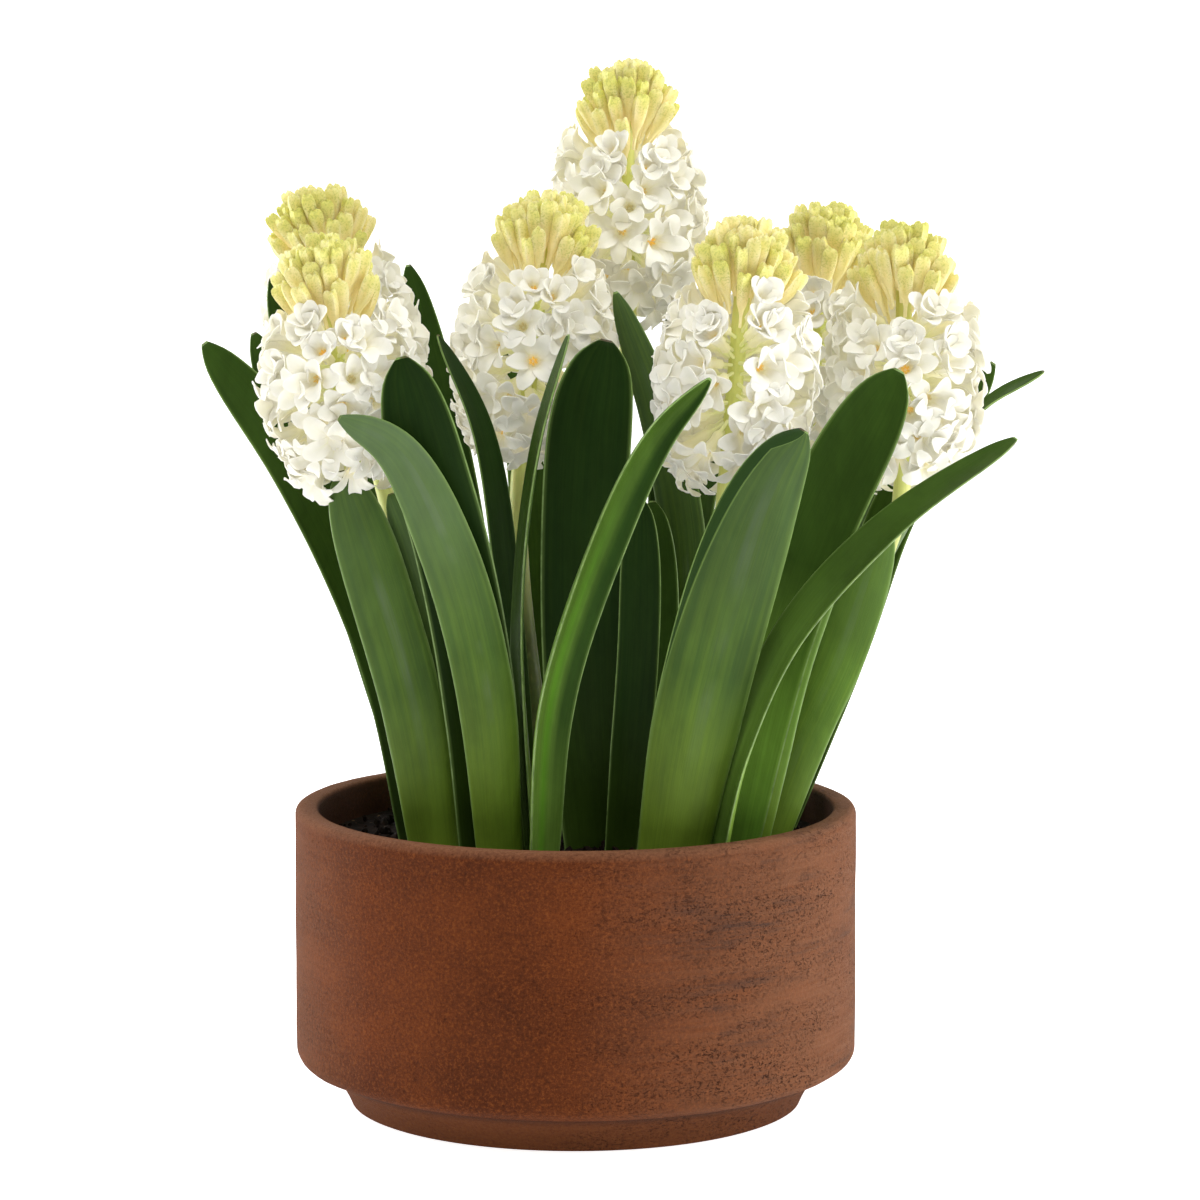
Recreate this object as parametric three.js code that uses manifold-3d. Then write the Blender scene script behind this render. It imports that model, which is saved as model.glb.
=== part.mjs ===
// Potted hyacinths: seven bulbs in one round clay pot, each with its stem, flower head and leaves.
// Millimetres, +Z up. The origin is the centre of the pot's flat foot.

import * as THREE from 'three';
import { mergeVertices } from 'three/addons/utils/BufferGeometryUtils.js';
import Module from 'manifold-3d';

const wasm = await Module();
wasm.setup();

// Room left between one piece and the next
const GAP = 0.3;

// Pot
const POT_RADIUS = 100;
const POT_HEIGHT = 107;
const POT_SIDES = 24;
const FOOT_RADIUS = 81;
const FOOT_BEVEL = 1.5;
const FOOT_HEIGHT = 12;
const FOOT_COVE = 6;
const SHOULDER_ROUND = 7;
const SHOULDER_HEIGHT = 23;
const LIP_ROUND = 4;
const LIP_WIDTH = 8.5;
const FLOOR_THICKNESS = 10;
const FLOOR_RADIUS = 82;
const INNER_CORNER = 8;

// Soil
const SOIL_TOP = 95;
const SOIL_EDGE_DROP = 2;
const SOIL_LUMP = 0.9;

// Bulbs, buried whole, and the plain holes that the stems stand in
const BULB_BOTTOM = 46;
const BULB_HEIGHT = 37;
const BULB_RADIUS = 18;
const BULB_SIDES = 8;
const SOCKET_RADIUS = 4;
const SOCKET_DEPTH = 13;

// Stems
const STEM_RADIUS = 3.4;
const STEM_TOP_RADIUS = 2.6;
const STEM_SIDES = 6;
const STEM_STRAIGHT_TOP = 98;
const STEM_BENDS = [0.25, 0.5, 0.75];
const STEM_IN_HEAD = 74;
const STEM_BELOW_HEAD = 3;

// Flower heads, measured along the stem from the head's foot. Angles are in degrees from level.
const GOLDEN_ANGLE = THREE.MathUtils.degToRad(137.508);
const TURN_JITTER = 0.1;
const CORE_HOLE = 3.3;
const CORE_SIDES = 8;
const CORE_RADIUS = 11;
const CROWN_BASE = 50;
const CROWN_TOP = 80;
const CROWN_CORE_RADIUS = 8;
const CROWN_SLOPE = 0.55;
const CROWN_REACH = 40;

// Open florets
const FLORET_COUNT = 17;
const FLORET_LOWEST = 9;
const FLORET_HIGHEST = 47;
const FLORET_LIFT = [-21, 22];
const FLORET_RADIUS = 11.4;
const FLORET_LENGTH = [8, 22];
const STAR_POINTS = 12;
const VALLEY_SHARE = 0.62;
const TIP_FALL = 2.2;
const THROAT_DEPTH = 3.5;
const NECK_SIDES = 3;
const NECK_DEPTH = 8;
const NECK_RADIUS = 2;
const NECK_ROOT = 4.9;

// Closed buds
const BUD_COUNT = 17;
const BUD_LIFT = [34, 78];
const BUD_LENGTH = [19.8, 14.4];
const BUD_ROOT = [4.4, 1];
const BUD_RADIUS = 3.6;
const BUD_SIDES = 4;
const BUD_WIDEST = 0.76;

// Leaves. The wrap is the angle, in radians, that the blade curls round its own length.
const LEAF_ROOT = 9;
const SLOT_ROOM = 0.5;
const LEAF_THICKNESS = 1.9;
const LEAF_TIP_THICKNESS = 1.2;
const LEAF_EDGE = 0.8;
const LEAF_COLUMNS = 4;
const LEAF_STATIONS = [0.05, 0.22, 0.4, 0.56, 0.72, 0.86, 0.95, 1];
const LEAF_WRAP = [1.5, 0.7];
const LEAF_FOOT_SHARE = 0.84;
const LEAF_FULL_AT = 0.3;

// How a leaf tapers, from a blunt tip to a pointed one
const LEAF_TAPER_FROM = [0.72, 0.42];
const LEAF_TAPER_POWER = [3.2, 2];
const LEAF_TIP_LOSS = [0.97, 0.985];

// Each plant: its bulb, the foot and the top of its flower head, and its leaves.
// A leaf's path runs from the soil to its tip. Face is the way its hollow side looks, in degrees
// round from +X, at the soil and at the tip. Tip is 0 for a blunt leaf and 1 for a pointed one.
const PLANTS = [
  {
    bulb: [-2, 52],
    headFoot: [19, 58, 281],
    headTop: [18, 58, 370],
    leaves: [
      { path: [[25, 24], [32, 26, 177], [36, 30, 285]], width: 16, face: [-90, -90], tip: 0.5 },
      { path: [[-8, 66], [-12, 86, 200], [-20, 112, 286]], width: 26, face: [-90, -90], tip: 0.4 },
      { path: [[30, 62], [40, 84, 200], [54, 108, 272]], width: 25, face: [-110, -110], tip: 0.4 },
    ],
  },
  {
    bulb: [-48, 34],
    headFoot: [-76, 60, 235],
    headTop: [-98, 66, 324],
    leaves: [
      { path: [[-52, 4], [-77, 13, 178], [-99, 18, 235], [-115, 20, 274]], width: 18,
        face: [-75, -75], tip: 0.3 },
      { path: [[-33, 58], [-41, 83, 190], [-63, 99, 294]], width: 16, face: [-80, -80], tip: 0.2 },
      { path: [[-45, 17], [-78, 25, 191], [-109, 28, 293]], width: 16, face: [-80, -80], tip: 0.2 },
      { path: [[-54, 52], [-66, 76, 190], [-84, 104, 258]], width: 27, face: [-60, -60], tip: 0.4 },
    ],
  },
  {
    bulb: [-48, -20],
    headFoot: [-77, -28, 229],
    headTop: [-88, -28, 311],
    leaves: [
      { path: [[-55, -13], [-68, -3, 161], [-99, 7, 228], [-132, 11, 271]], width: 20,
        face: [-70, -75], tip: 0.7 },
      { path: [[-49, -36], [-56, -40, 145], [-68, -39, 189], [-81, -36, 230]], width: 23,
        face: [90, 85], tip: 0.2 },
      { path: [[-34, -30], [-44, -34, 162], [-57, -35, 206], [-64, -35, 222]], width: 17,
        face: [90, 80], tip: 0.4 },
    ],
  },
  {
    bulb: [-11, -14],
    headFoot: [-19, 14, 234],
    headTop: [-9, 16, 325],
    leaves: [
      { path: [[-26, -46], [-31, -54, 156], [-43, -60, 204], [-61, -64, 240], [-80, -66, 251]], width: 21,
        face: [90, 95], tip: 0.7 },
      { path: [[-30, -36], [-33, -40, 150], [-41, -51, 201], [-51, -55, 239], [-59, -55, 271]], width: 27,
        face: [-88, -98], tip: 0 },
      { path: [[-17, -24], [-24, -22, 183], [-33, -21, 243], [-48, -20, 276]], width: 14.5,
        face: [-35, -35], tip: 0.6 },
      { path: [[-14, -41], [-19, -40, 178], [-13, -38, 237], [-2, -32, 277]], width: 15,
        face: [-165, -165], tip: 0.6 },
      { path: [[8, -19], [3, -21, 169], [5, -22, 243], [11, -16, 274]], width: 31,
        face: [-90, -85], tip: 0 },
      { path: [[-12, -55], [-8, -58, 153], [8, -64, 207], [27, -68, 245], [46, -72, 265]], width: 18.5,
        face: [-35, -55], tip: 0.9 },
    ],
  },
  {
    bulb: [34, -46],
    headFoot: [53, -28, 229],
    headTop: [60, -28, 317],
    leaves: [
      { path: [[33, -62], [41, -66, 142], [55, -70, 198], [67, -69, 230], [78, -68, 247]], width: 32,
        face: [92, 92], tip: 0.6 },
      { path: [[53, -44], [67, -42, 163], [88, -38, 220], [112, -36, 265]], width: 28,
        face: [-105, -105], tip: 0.1 },
      { path: [[50, -60], [58, -62, 136], [75, -63, 177], [108, -59, 213], [152, -44, 242]], width: 20,
        face: [-160, -150], tip: 0.6 },
      { path: [[16, -30], [22, -33, 167], [23, -33, 220]], width: 15, face: [-90, -90], tip: 0.2 },
      { path: [[23, -16], [28, -13, 168], [27, -12, 217]], width: 17, face: [-75, -75], tip: 0.2 },
    ],
  },
  {
    bulb: [42, 42],
    headFoot: [84, 58, 232],
    headTop: [93, 62, 319],
    leaves: [
      { path: [[26, -6], [39, 4, 180], [32, 8, 236], [14, 14, 289]], width: 17, face: [80, 80], tip: 0.7 },
      { path: [[57, 57], [80, 82, 190], [110, 108, 248]], width: 27, face: [-130, -130], tip: 0.4 },
    ],
  },
  {
    bulb: [58, -4],
    headFoot: [116, 4, 226],
    headTop: [116, 6, 314],
    leaves: [
      { path: [[59, -34], [73, -29, 160], [93, -27, 217]], width: 19, face: [75, 75], tip: 0.2 },
      { path: [[71, -8], [84, 1, 137], [98, 9, 165], [122, 27, 208], [146, 33, 245], [169, 34, 259]], width: 21,
        face: [165, -170], tip: 0.8 },
      { path: [[73, 20], [99, 35, 161], [118, 43, 212], [152, 50, 261]], width: 18,
        face: [-105, -105], tip: 0.3 },
      { path: [[66, -22], [79, -16, 132], [92, -13, 161], [103, -11, 192], [109, -12, 210]], width: 20,
        face: [80, 80], tip: 0.3 },
      { path: [[61, 30], [98, 58, 185], [137, 84, 236]], width: 25, face: [-150, -150], tip: 0.4 },
    ],
  },
];

const clay = new THREE.MeshStandardMaterial({ color: 0x8a4a2c, roughness: 0.9, metalness: 0 });
const earth = new THREE.MeshStandardMaterial({ color: 0x2a1c12, roughness: 1, metalness: 0 });
const bulbSkin = new THREE.MeshStandardMaterial({ color: 0xb29a78, roughness: 0.7, metalness: 0 });
const stemGreen = new THREE.MeshStandardMaterial({ color: 0x76903f, roughness: 0.5, metalness: 0 });
const petalWhite = new THREE.MeshStandardMaterial({ color: 0xf5f2e4, roughness: 0.5, metalness: 0 });
const budYellow = new THREE.MeshStandardMaterial({ color: 0xe2da78, roughness: 0.5, metalness: 0 });
const leafGreen = new THREE.MeshStandardMaterial({ color: 0x3f6a27, roughness: 0.35, metalness: 0 });

// A repeatable run of numbers from 0 to 1
function seededRandom(seed) {
  let state = seed;
  return () => {
    state = (state + 0x6d2b79f5) | 0;
    let mixed = Math.imul(state ^ (state >>> 15), 1 | state);
    mixed = (mixed + Math.imul(mixed ^ (mixed >>> 7), 61 | mixed)) ^ mixed;
    return ((mixed ^ (mixed >>> 14)) >>> 0) / 4294967296;
  };
}

function between([from, to], share) {
  return THREE.MathUtils.lerp(from, to, share);
}

function geometryOf(points, triangles) {
  const geometry = new THREE.BufferGeometry();
  const places = points.flatMap((p) => [p.x, p.y, p.z]);
  geometry.setAttribute('position', new THREE.Float32BufferAttribute(places, 3));
  geometry.setIndex(triangles.flat());
  return geometry;
}

function solidOf(geometry) {
  const bare = geometry.clone();
  bare.deleteAttribute('normal');
  bare.deleteAttribute('uv');
  const merged = mergeVertices(bare, 1e-4);
  return new wasm.Manifold(new wasm.Mesh({
    numProp: 3,
    vertProperties: new Float32Array(merged.attributes.position.array),
    triVerts: new Uint32Array(merged.index.array),
  }));
}

function geometryOfSolid(solid) {
  const mesh = solid.getMesh();
  const geometry = new THREE.BufferGeometry();
  geometry.setAttribute('position', new THREE.Float32BufferAttribute(mesh.vertProperties, 3));
  geometry.setIndex([...mesh.triVerts]);
  return geometry;
}

function named(name, geometry, material) {
  geometry.computeVertexNormals();
  const mesh = new THREE.Mesh(geometry, material.clone());
  mesh.name = name;
  return mesh;
}

// A solid turned about Z from an outline of [radius, height] points
function turned(outline, sides) {
  const geometry = new THREE.LatheGeometry(outline.map(([r, z]) => new THREE.Vector2(r, z)), sides);
  return geometry.rotateX(Math.PI / 2);
}

// Points on an arc in an outline, angles in degrees
function arc(centreR, centreZ, radius, from, to, steps) {
  return Array.from({ length: steps + 1 }, (_, i) => {
    const angle = THREE.MathUtils.degToRad(from + ((to - from) * i) / steps);
    return [centreR + radius * Math.cos(angle), centreZ + radius * Math.sin(angle)];
  });
}

// A closed skin over rings of points, all with the same number of points and running the same way.
// The second half of each ring takes the other diagonal, so both faces of a blade split alike.
function skinned(rings) {
  const count = rings[0].length;
  const triangles = [];
  for (let ring = 0; ring < rings.length - 1; ring++) {
    for (let i = 0; i < count; i++) {
      const next = (i + 1) % count;
      const [a, b] = [ring * count + i, ring * count + next];
      const [c, d] = [b + count, a + count];
      if (i < count / 2) triangles.push([a, b, c], [a, c, d]);
      else triangles.push([a, b, d], [b, c, d]);
    }
  }
  const last = (rings.length - 1) * count;
  for (let i = 0; i < count / 2 - 1; i++) {
    const [a, b, c, d] = [i, i + 1, count - 2 - i, count - 1 - i];
    triangles.push([a, d, b]);
    if (c !== b) triangles.push([b, d, c]);
    triangles.push([last + a, last + b, last + d]);
    if (c !== b) triangles.push([last + b, last + c, last + d]);
  }
  return geometryOf(rings.flat(), triangles);
}

function pot() {
  const inner = POT_RADIUS - LIP_WIDTH;
  return turned([
    [0, 0],
    [FOOT_RADIUS - FOOT_BEVEL, 0],
    [FOOT_RADIUS, FOOT_BEVEL],
    [FOOT_RADIUS + FOOT_BEVEL, FOOT_HEIGHT - FOOT_COVE],
    [FOOT_RADIUS + FOOT_COVE, FOOT_HEIGHT],
    ...arc(POT_RADIUS - SHOULDER_ROUND, SHOULDER_HEIGHT, SHOULDER_ROUND, -70, 0, 3),
    ...arc(POT_RADIUS - LIP_ROUND, POT_HEIGHT - LIP_ROUND, LIP_ROUND, 0, 90, 3),
    [inner + FOOT_BEVEL, POT_HEIGHT],
    [inner, POT_HEIGHT - FOOT_BEVEL],
    [inner - 1, FLOOR_THICKNESS + INNER_CORNER],
    [FLOOR_RADIUS + INNER_CORNER / 2, FLOOR_THICKNESS + FOOT_BEVEL],
    [FLOOR_RADIUS, FLOOR_THICKNESS],
    [0, FLOOR_THICKNESS],
  ], POT_SIDES);
}

function soilBody() {
  const wall = POT_RADIUS - LIP_WIDTH - 1.5 * GAP;
  const geometry = turned([
    [0, FLOOR_THICKNESS + GAP],
    [FLOOR_RADIUS - GAP, FLOOR_THICKNESS + 1.2 * GAP],
    [FLOOR_RADIUS + INNER_CORNER / 2 - 1.3 * GAP, FLOOR_THICKNESS + FOOT_BEVEL + 1.3 * GAP],
    [wall - 1, FLOOR_THICKNESS + INNER_CORNER + GAP],
    [wall - GAP, SOIL_TOP - SOIL_EDGE_DROP],
    [wall * 0.85, SOIL_TOP - 0.3 * SOIL_EDGE_DROP],
    [wall * 0.45, SOIL_TOP],
    [0, SOIL_TOP],
  ], POT_SIDES);
  const place = geometry.attributes.position;
  for (let i = 0; i < place.count; i++) {
    const [x, y, z] = [place.getX(i), place.getY(i), place.getZ(i)];
    const onTop = z > SOIL_TOP - SOIL_EDGE_DROP + GAP;
    if (onTop) place.setZ(i, z + SOIL_LUMP * Math.sin(0.31 * x + 1) * Math.cos(0.27 * y));
  }
  return solidOf(geometry);
}

function bulbOutline(grow) {
  return [
    [0, BULB_BOTTOM - grow],
    [BULB_RADIUS * 0.6 + grow, BULB_BOTTOM + 0.06 * BULB_HEIGHT - grow],
    [BULB_RADIUS + grow, BULB_BOTTOM + 0.42 * BULB_HEIGHT],
    [BULB_RADIUS * 0.86 + grow, BULB_BOTTOM + 0.68 * BULB_HEIGHT],
    [BULB_RADIUS * 0.4 + grow, BULB_BOTTOM + 0.94 * BULB_HEIGHT + grow],
    [SOCKET_RADIUS + 1, BULB_BOTTOM + BULB_HEIGHT + grow],
  ];
}

function bulb() {
  const top = BULB_BOTTOM + BULB_HEIGHT;
  return turned([
    ...bulbOutline(0),
    [SOCKET_RADIUS, top],
    [SOCKET_RADIUS, top - SOCKET_DEPTH],
    [0, top - SOCKET_DEPTH],
  ], BULB_SIDES);
}

// The room that a bulb and its stem take up in the soil
function bulbPocket([x, y]) {
  const top = BULB_BOTTOM + BULB_HEIGHT + GAP;
  const above = SOIL_TOP + 2 * SOIL_LUMP;
  const outline = [...bulbOutline(GAP), [SOCKET_RADIUS, top], [SOCKET_RADIUS, above], [0, above]];
  return solidOf(turned(outline, BULB_SIDES)).translate(x, y, 0);
}

function ringAround(centre, tangent, radius) {
  const side = new THREE.Vector3(1, 0, 0).addScaledVector(tangent, -tangent.x).normalize();
  const back = new THREE.Vector3().crossVectors(tangent, side);
  return Array.from({ length: STEM_SIDES }, (_, i) => {
    const angle = (2 * Math.PI * i) / STEM_SIDES;
    return centre.clone().addScaledVector(side, radius * Math.cos(angle))
      .addScaledVector(back, radius * Math.sin(angle));
  });
}

// A stem stands straight in its bulb, bends to its head and runs straight up inside it
function stem({ bulb: [x, y], headFoot, headTop }) {
  const up = new THREE.Vector3(0, 0, 1);
  const foot = new THREE.Vector3(...headFoot);
  const axis = new THREE.Vector3(...headTop).sub(foot).normalize();
  const low = new THREE.Vector3(x, y, BULB_BOTTOM + BULB_HEIGHT - SOCKET_DEPTH + GAP);
  const ground = new THREE.Vector3(x, y, STEM_STRAIGHT_TOP);
  const entry = foot.clone().addScaledVector(axis, -STEM_BELOW_HEAD);
  const reach = ground.distanceTo(entry) / 3;
  const bend = new THREE.CubicBezierCurve3(
    ground,
    ground.clone().addScaledVector(up, reach),
    entry.clone().addScaledVector(axis, -reach),
    entry,
  );
  const rings = [ringAround(low, up, STEM_RADIUS), ringAround(ground, up, STEM_RADIUS)];
  for (const t of STEM_BENDS) {
    const radius = between([STEM_RADIUS, STEM_TOP_RADIUS], t);
    rings.push(ringAround(bend.getPoint(t), bend.getTangent(t), radius));
  }
  const top = foot.clone().addScaledVector(axis, STEM_IN_HEAD);
  rings.push(ringAround(entry, axis, STEM_TOP_RADIUS), ringAround(top, axis, STEM_TOP_RADIUS));
  return skinned(rings);
}

// One ring of a leaf: the hollow face from edge to edge, then the outer face back again
function leafRing(centre, tangent, faceAngle, width, thickness, wrap, grow) {
  const angle = THREE.MathUtils.degToRad(faceAngle);
  const face = new THREE.Vector3(Math.cos(angle), Math.sin(angle), 0);
  face.addScaledVector(tangent, -face.dot(tangent)).normalize();
  const across = new THREE.Vector3().crossVectors(tangent, face);
  const curl = width / wrap;
  const point = (u, side) => {
    const swing = (u * wrap) / 2;
    const half = side * (between([thickness, LEAF_EDGE], u * u) / 2 + grow);
    return centre.clone()
      .addScaledVector(across, curl * Math.sin(swing) + u * grow)
      .addScaledVector(face, curl * (1 - Math.cos(swing)) + half);
  };
  const columns = Array.from({ length: LEAF_COLUMNS }, (_, i) => (2 * i) / (LEAF_COLUMNS - 1) - 1);
  return [...columns.map((u) => point(u, 1)), ...columns.reverse().map((u) => point(u, -1))];
}

// The share of a leaf's full width at a share of its length
function leafWidth(share, tip) {
  const from = between(LEAF_TAPER_FROM, tip);
  const taper = Math.max(0, (share - from) / (1 - from));
  const spread = between([LEAF_FOOT_SHARE, 1], Math.min(1, share / LEAF_FULL_AT));
  const loss = between(LEAF_TIP_LOSS, tip) * Math.pow(taper, between(LEAF_TAPER_POWER, tip));
  return spread * Math.sqrt(1 - loss);
}

function leafRings({ path, width, face, tip }, grow = 0) {
  const [[footX, footY], ...rest] = path;
  const foot = new THREE.Vector3(footX, footY, SOIL_TOP);
  const stops = [foot, ...rest.map((p) => new THREE.Vector3(...p))];
  const curve = new THREE.CatmullRomCurve3(stops, false, 'centripetal');
  const start = curve.getTangentAt(0);
  const root = foot.clone().addScaledVector(start, -LEAF_ROOT - grow);
  const ringAt = (centre, tangent, share) => leafRing(
    centre,
    tangent,
    between(face, share),
    width * leafWidth(share, tip),
    between([LEAF_THICKNESS, LEAF_TIP_THICKNESS], share),
    between(LEAF_WRAP, Math.min(1, 2 * share)),
    grow,
  );
  const rings = LEAF_STATIONS.map((share) => ringAt(curve.getPointAt(share), curve.getTangentAt(share), share));
  return [ringAt(root, start, 0), ...rings];
}

function leaf(row) {
  return skinned(leafRings(row));
}

// The slot that a leaf's root stands in
function leafSlot(row) {
  return solidOf(skinned(leafRings(row, SLOT_ROOM).slice(0, 2)));
}

// One open floret: a six-lobed star with a hollow throat, on a slim three-sided neck
function floret(root, direction, length, radius, roll) {
  const side = new THREE.Vector3(0, 0, 1).cross(direction).normalize();
  const upward = new THREE.Vector3().crossVectors(direction, side);
  const placed = (along, reach, angle) => root.clone()
    .addScaledVector(direction, along)
    .addScaledVector(side, reach * Math.cos(angle))
    .addScaledVector(upward, reach * Math.sin(angle));
  const points = [root, placed(length - THROAT_DEPTH, 0, 0)];
  for (let i = 0; i < STAR_POINTS; i++) {
    const isTip = i % 2 === 0;
    const angle = roll + (2 * Math.PI * i) / STAR_POINTS;
    points.push(placed(length - (isTip ? TIP_FALL : 0), isTip ? radius : VALLEY_SHARE * radius, angle));
  }
  for (let i = 0; i < NECK_SIDES; i++) {
    const angle = roll + (2 * Math.PI * (i + 0.5)) / NECK_SIDES;
    points.push(placed(length - NECK_DEPTH, NECK_RADIUS, angle));
  }
  const [star, neck] = [2, 2 + STAR_POINTS];
  const perSide = STAR_POINTS / NECK_SIDES;
  const triangles = [];
  for (let i = 0; i < STAR_POINTS; i++) {
    const [here, next] = [star + i, star + ((i + 1) % STAR_POINTS)];
    triangles.push([1, here, next], [neck + Math.floor(i / perSide), next, here]);
  }
  for (let i = 0; i < NECK_SIDES; i++) {
    const [here, next] = [neck + i, neck + ((i + 1) % NECK_SIDES)];
    const corner = star + ((perSide * (i + 1)) % STAR_POINTS);
    triangles.push([here, next, corner], [0, next, here]);
  }
  return solidOf(geometryOf(points, triangles));
}

function outward(azimuth, elevation) {
  return new THREE.Vector3(
    Math.cos(azimuth) * Math.cos(elevation),
    Math.sin(azimuth) * Math.cos(elevation),
    Math.sin(elevation),
  );
}

// Open florets up the stem on a sleeve, hanging at the bottom and lifting towards the crown
function florets(seed) {
  const random = seededRandom(seed);
  const parts = [solidOf(turned([
    [0, 0],
    [CORE_RADIUS * 0.5, 0],
    [CORE_RADIUS, FLORET_LOWEST * 2],
    [CORE_RADIUS, CROWN_BASE - 6],
    [CORE_RADIUS * 0.7, CROWN_BASE],
    [0, CROWN_BASE],
  ], CORE_SIDES))];
  for (let i = 0; i < FLORET_COUNT; i++) {
    const share = i / (FLORET_COUNT - 1);
    const azimuth = i * GOLDEN_ANGLE + TURN_JITTER * random();
    const lift = THREE.MathUtils.degToRad(between(FLORET_LIFT, share));
    const height = between([FLORET_LOWEST, FLORET_HIGHEST], share);
    const root = outward(azimuth, 0).multiplyScalar(NECK_ROOT).setZ(height);
    const fullness = Math.sin(Math.PI * between([0.28, 0.83], share));
    const length = between(FLORET_LENGTH, fullness) + 2 * (random() - 0.5);
    const radius = FLORET_RADIUS * between([0.78, 1], fullness);
    parts.push(floret(root, outward(azimuth, lift), length, radius, random()));
  }
  const joined = wasm.Manifold.union(parts);
  const hole = turned([[0, -5], [CORE_HOLE, -5], [CORE_HOLE, CROWN_TOP], [0, CROWN_TOP]], CORE_SIDES);
  return geometryOfSolid(joined.subtract(solidOf(hole)).subtract(crownRoom(GAP)));
}

// The funnel of space that the crown of buds keeps to itself
function crownRoom(grow) {
  const rim = CROWN_BASE + CROWN_SLOPE * CROWN_REACH;
  return solidOf(turned([
    [0, CROWN_BASE + GAP / 2 - grow],
    [CORE_RADIUS, CROWN_BASE + GAP / 2 - grow],
    [CROWN_REACH, rim - grow],
    [CROWN_REACH, rim + CROWN_REACH],
    [0, rim + CROWN_REACH],
  ], CORE_SIDES));
}

function bud(root, direction, length, radius, roll) {
  const side = new THREE.Vector3(0, 0, 1).cross(direction).normalize();
  const upward = new THREE.Vector3().crossVectors(direction, side);
  const widest = root.clone().addScaledVector(direction, BUD_WIDEST * length);
  const tip = root.clone().addScaledVector(direction, length);
  const points = [root, tip];
  const triangles = [];
  for (let i = 0; i < BUD_SIDES; i++) {
    const angle = roll + (2 * Math.PI * i) / BUD_SIDES;
    points.push(widest.clone()
      .addScaledVector(side, radius * Math.cos(angle))
      .addScaledVector(upward, radius * Math.sin(angle)));
    const [here, next] = [2 + i, 2 + ((i + 1) % BUD_SIDES)];
    triangles.push([1, here, next], [0, next, here]);
  }
  return solidOf(geometryOf(points, triangles));
}

// Closed buds crowding up the tip of the stem
function buds(seed) {
  const random = seededRandom(seed);
  const base = CROWN_BASE + GAP;
  const parts = [solidOf(turned([
    [0, base],
    [CROWN_CORE_RADIUS, base],
    [CROWN_CORE_RADIUS * 0.7, CROWN_TOP - 4],
    [CROWN_CORE_RADIUS * 0.3, CROWN_TOP],
    [0, CROWN_TOP],
  ], CORE_SIDES))];
  for (let i = 0; i < BUD_COUNT; i++) {
    const share = i / (BUD_COUNT - 1);
    const azimuth = i * GOLDEN_ANGLE + TURN_JITTER * random();
    const lift = THREE.MathUtils.degToRad(between(BUD_LIFT, share * share));
    const height = between([CROWN_BASE + 3, CROWN_TOP - 6], share);
    const root = outward(azimuth, 0).multiplyScalar(between(BUD_ROOT, share)).setZ(height);
    const length = between(BUD_LENGTH, share) + 2 * random();
    parts.push(bud(root, outward(azimuth, lift), length, BUD_RADIUS, random()));
  }
  const socketTop = STEM_IN_HEAD + GAP;
  const socket = turned([[0, 0], [CORE_HOLE, 0], [CORE_HOLE, socketTop], [0, socketTop]], CORE_SIDES);
  return geometryOfSolid(wasm.Manifold.union(parts).subtract(solidOf(socket)).intersect(crownRoom(-GAP / 2)));
}

// A flower head piece, made upright about the origin and then set on its stem
function onStem(mesh, { headFoot, headTop }) {
  const foot = new THREE.Vector3(...headFoot);
  const axis = new THREE.Vector3(...headTop).sub(foot).normalize();
  mesh.position.copy(foot);
  mesh.quaternion.setFromUnitVectors(new THREE.Vector3(0, 0, 1), axis);
  return mesh;
}

function plant(row, index) {
  const number = index + 1;
  const group = new THREE.Group();
  const bulbMesh = named(`bulb_${number}`, bulb(), bulbSkin);
  bulbMesh.position.set(row.bulb[0], row.bulb[1], 0);
  group.add(bulbMesh);
  group.add(named(`stem_${number}`, stem(row), stemGreen));
  group.add(onStem(named(`florets_${number}`, florets(number), petalWhite), row));
  group.add(onStem(named(`buds_${number}`, buds(number), budYellow), row));
  row.leaves.forEach((leafRow, i) => {
    group.add(named(`leaf_${number}${'abcdef'[i]}`, leaf(leafRow), leafGreen));
  });
  return group;
}

function soil() {
  const pockets = PLANTS.map((row) => bulbPocket(row.bulb));
  const slots = PLANTS.flatMap((row) => row.leaves.map(leafSlot));
  return geometryOfSolid(soilBody().subtract(wasm.Manifold.union([...pockets, ...slots])));
}

const group = new THREE.Group();
group.add(named('pot', pot(), clay));
group.add(named('soil', soil(), earth));
PLANTS.forEach((row, index) => group.add(plant(row, index)));

export default group;
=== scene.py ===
# Looks of the potted hyacinths: clay pot, soil, bulbs, stems, strap leaves, florets and buds.
# Blender's units are metres, +Z up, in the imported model's frame. Sizes times MM are in millimetres.

import math
import random

import bmesh
import bpy
from bpy.props import FloatProperty, FloatVectorProperty, IntProperty, PointerProperty
from mathutils import Matrix, Vector


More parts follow.
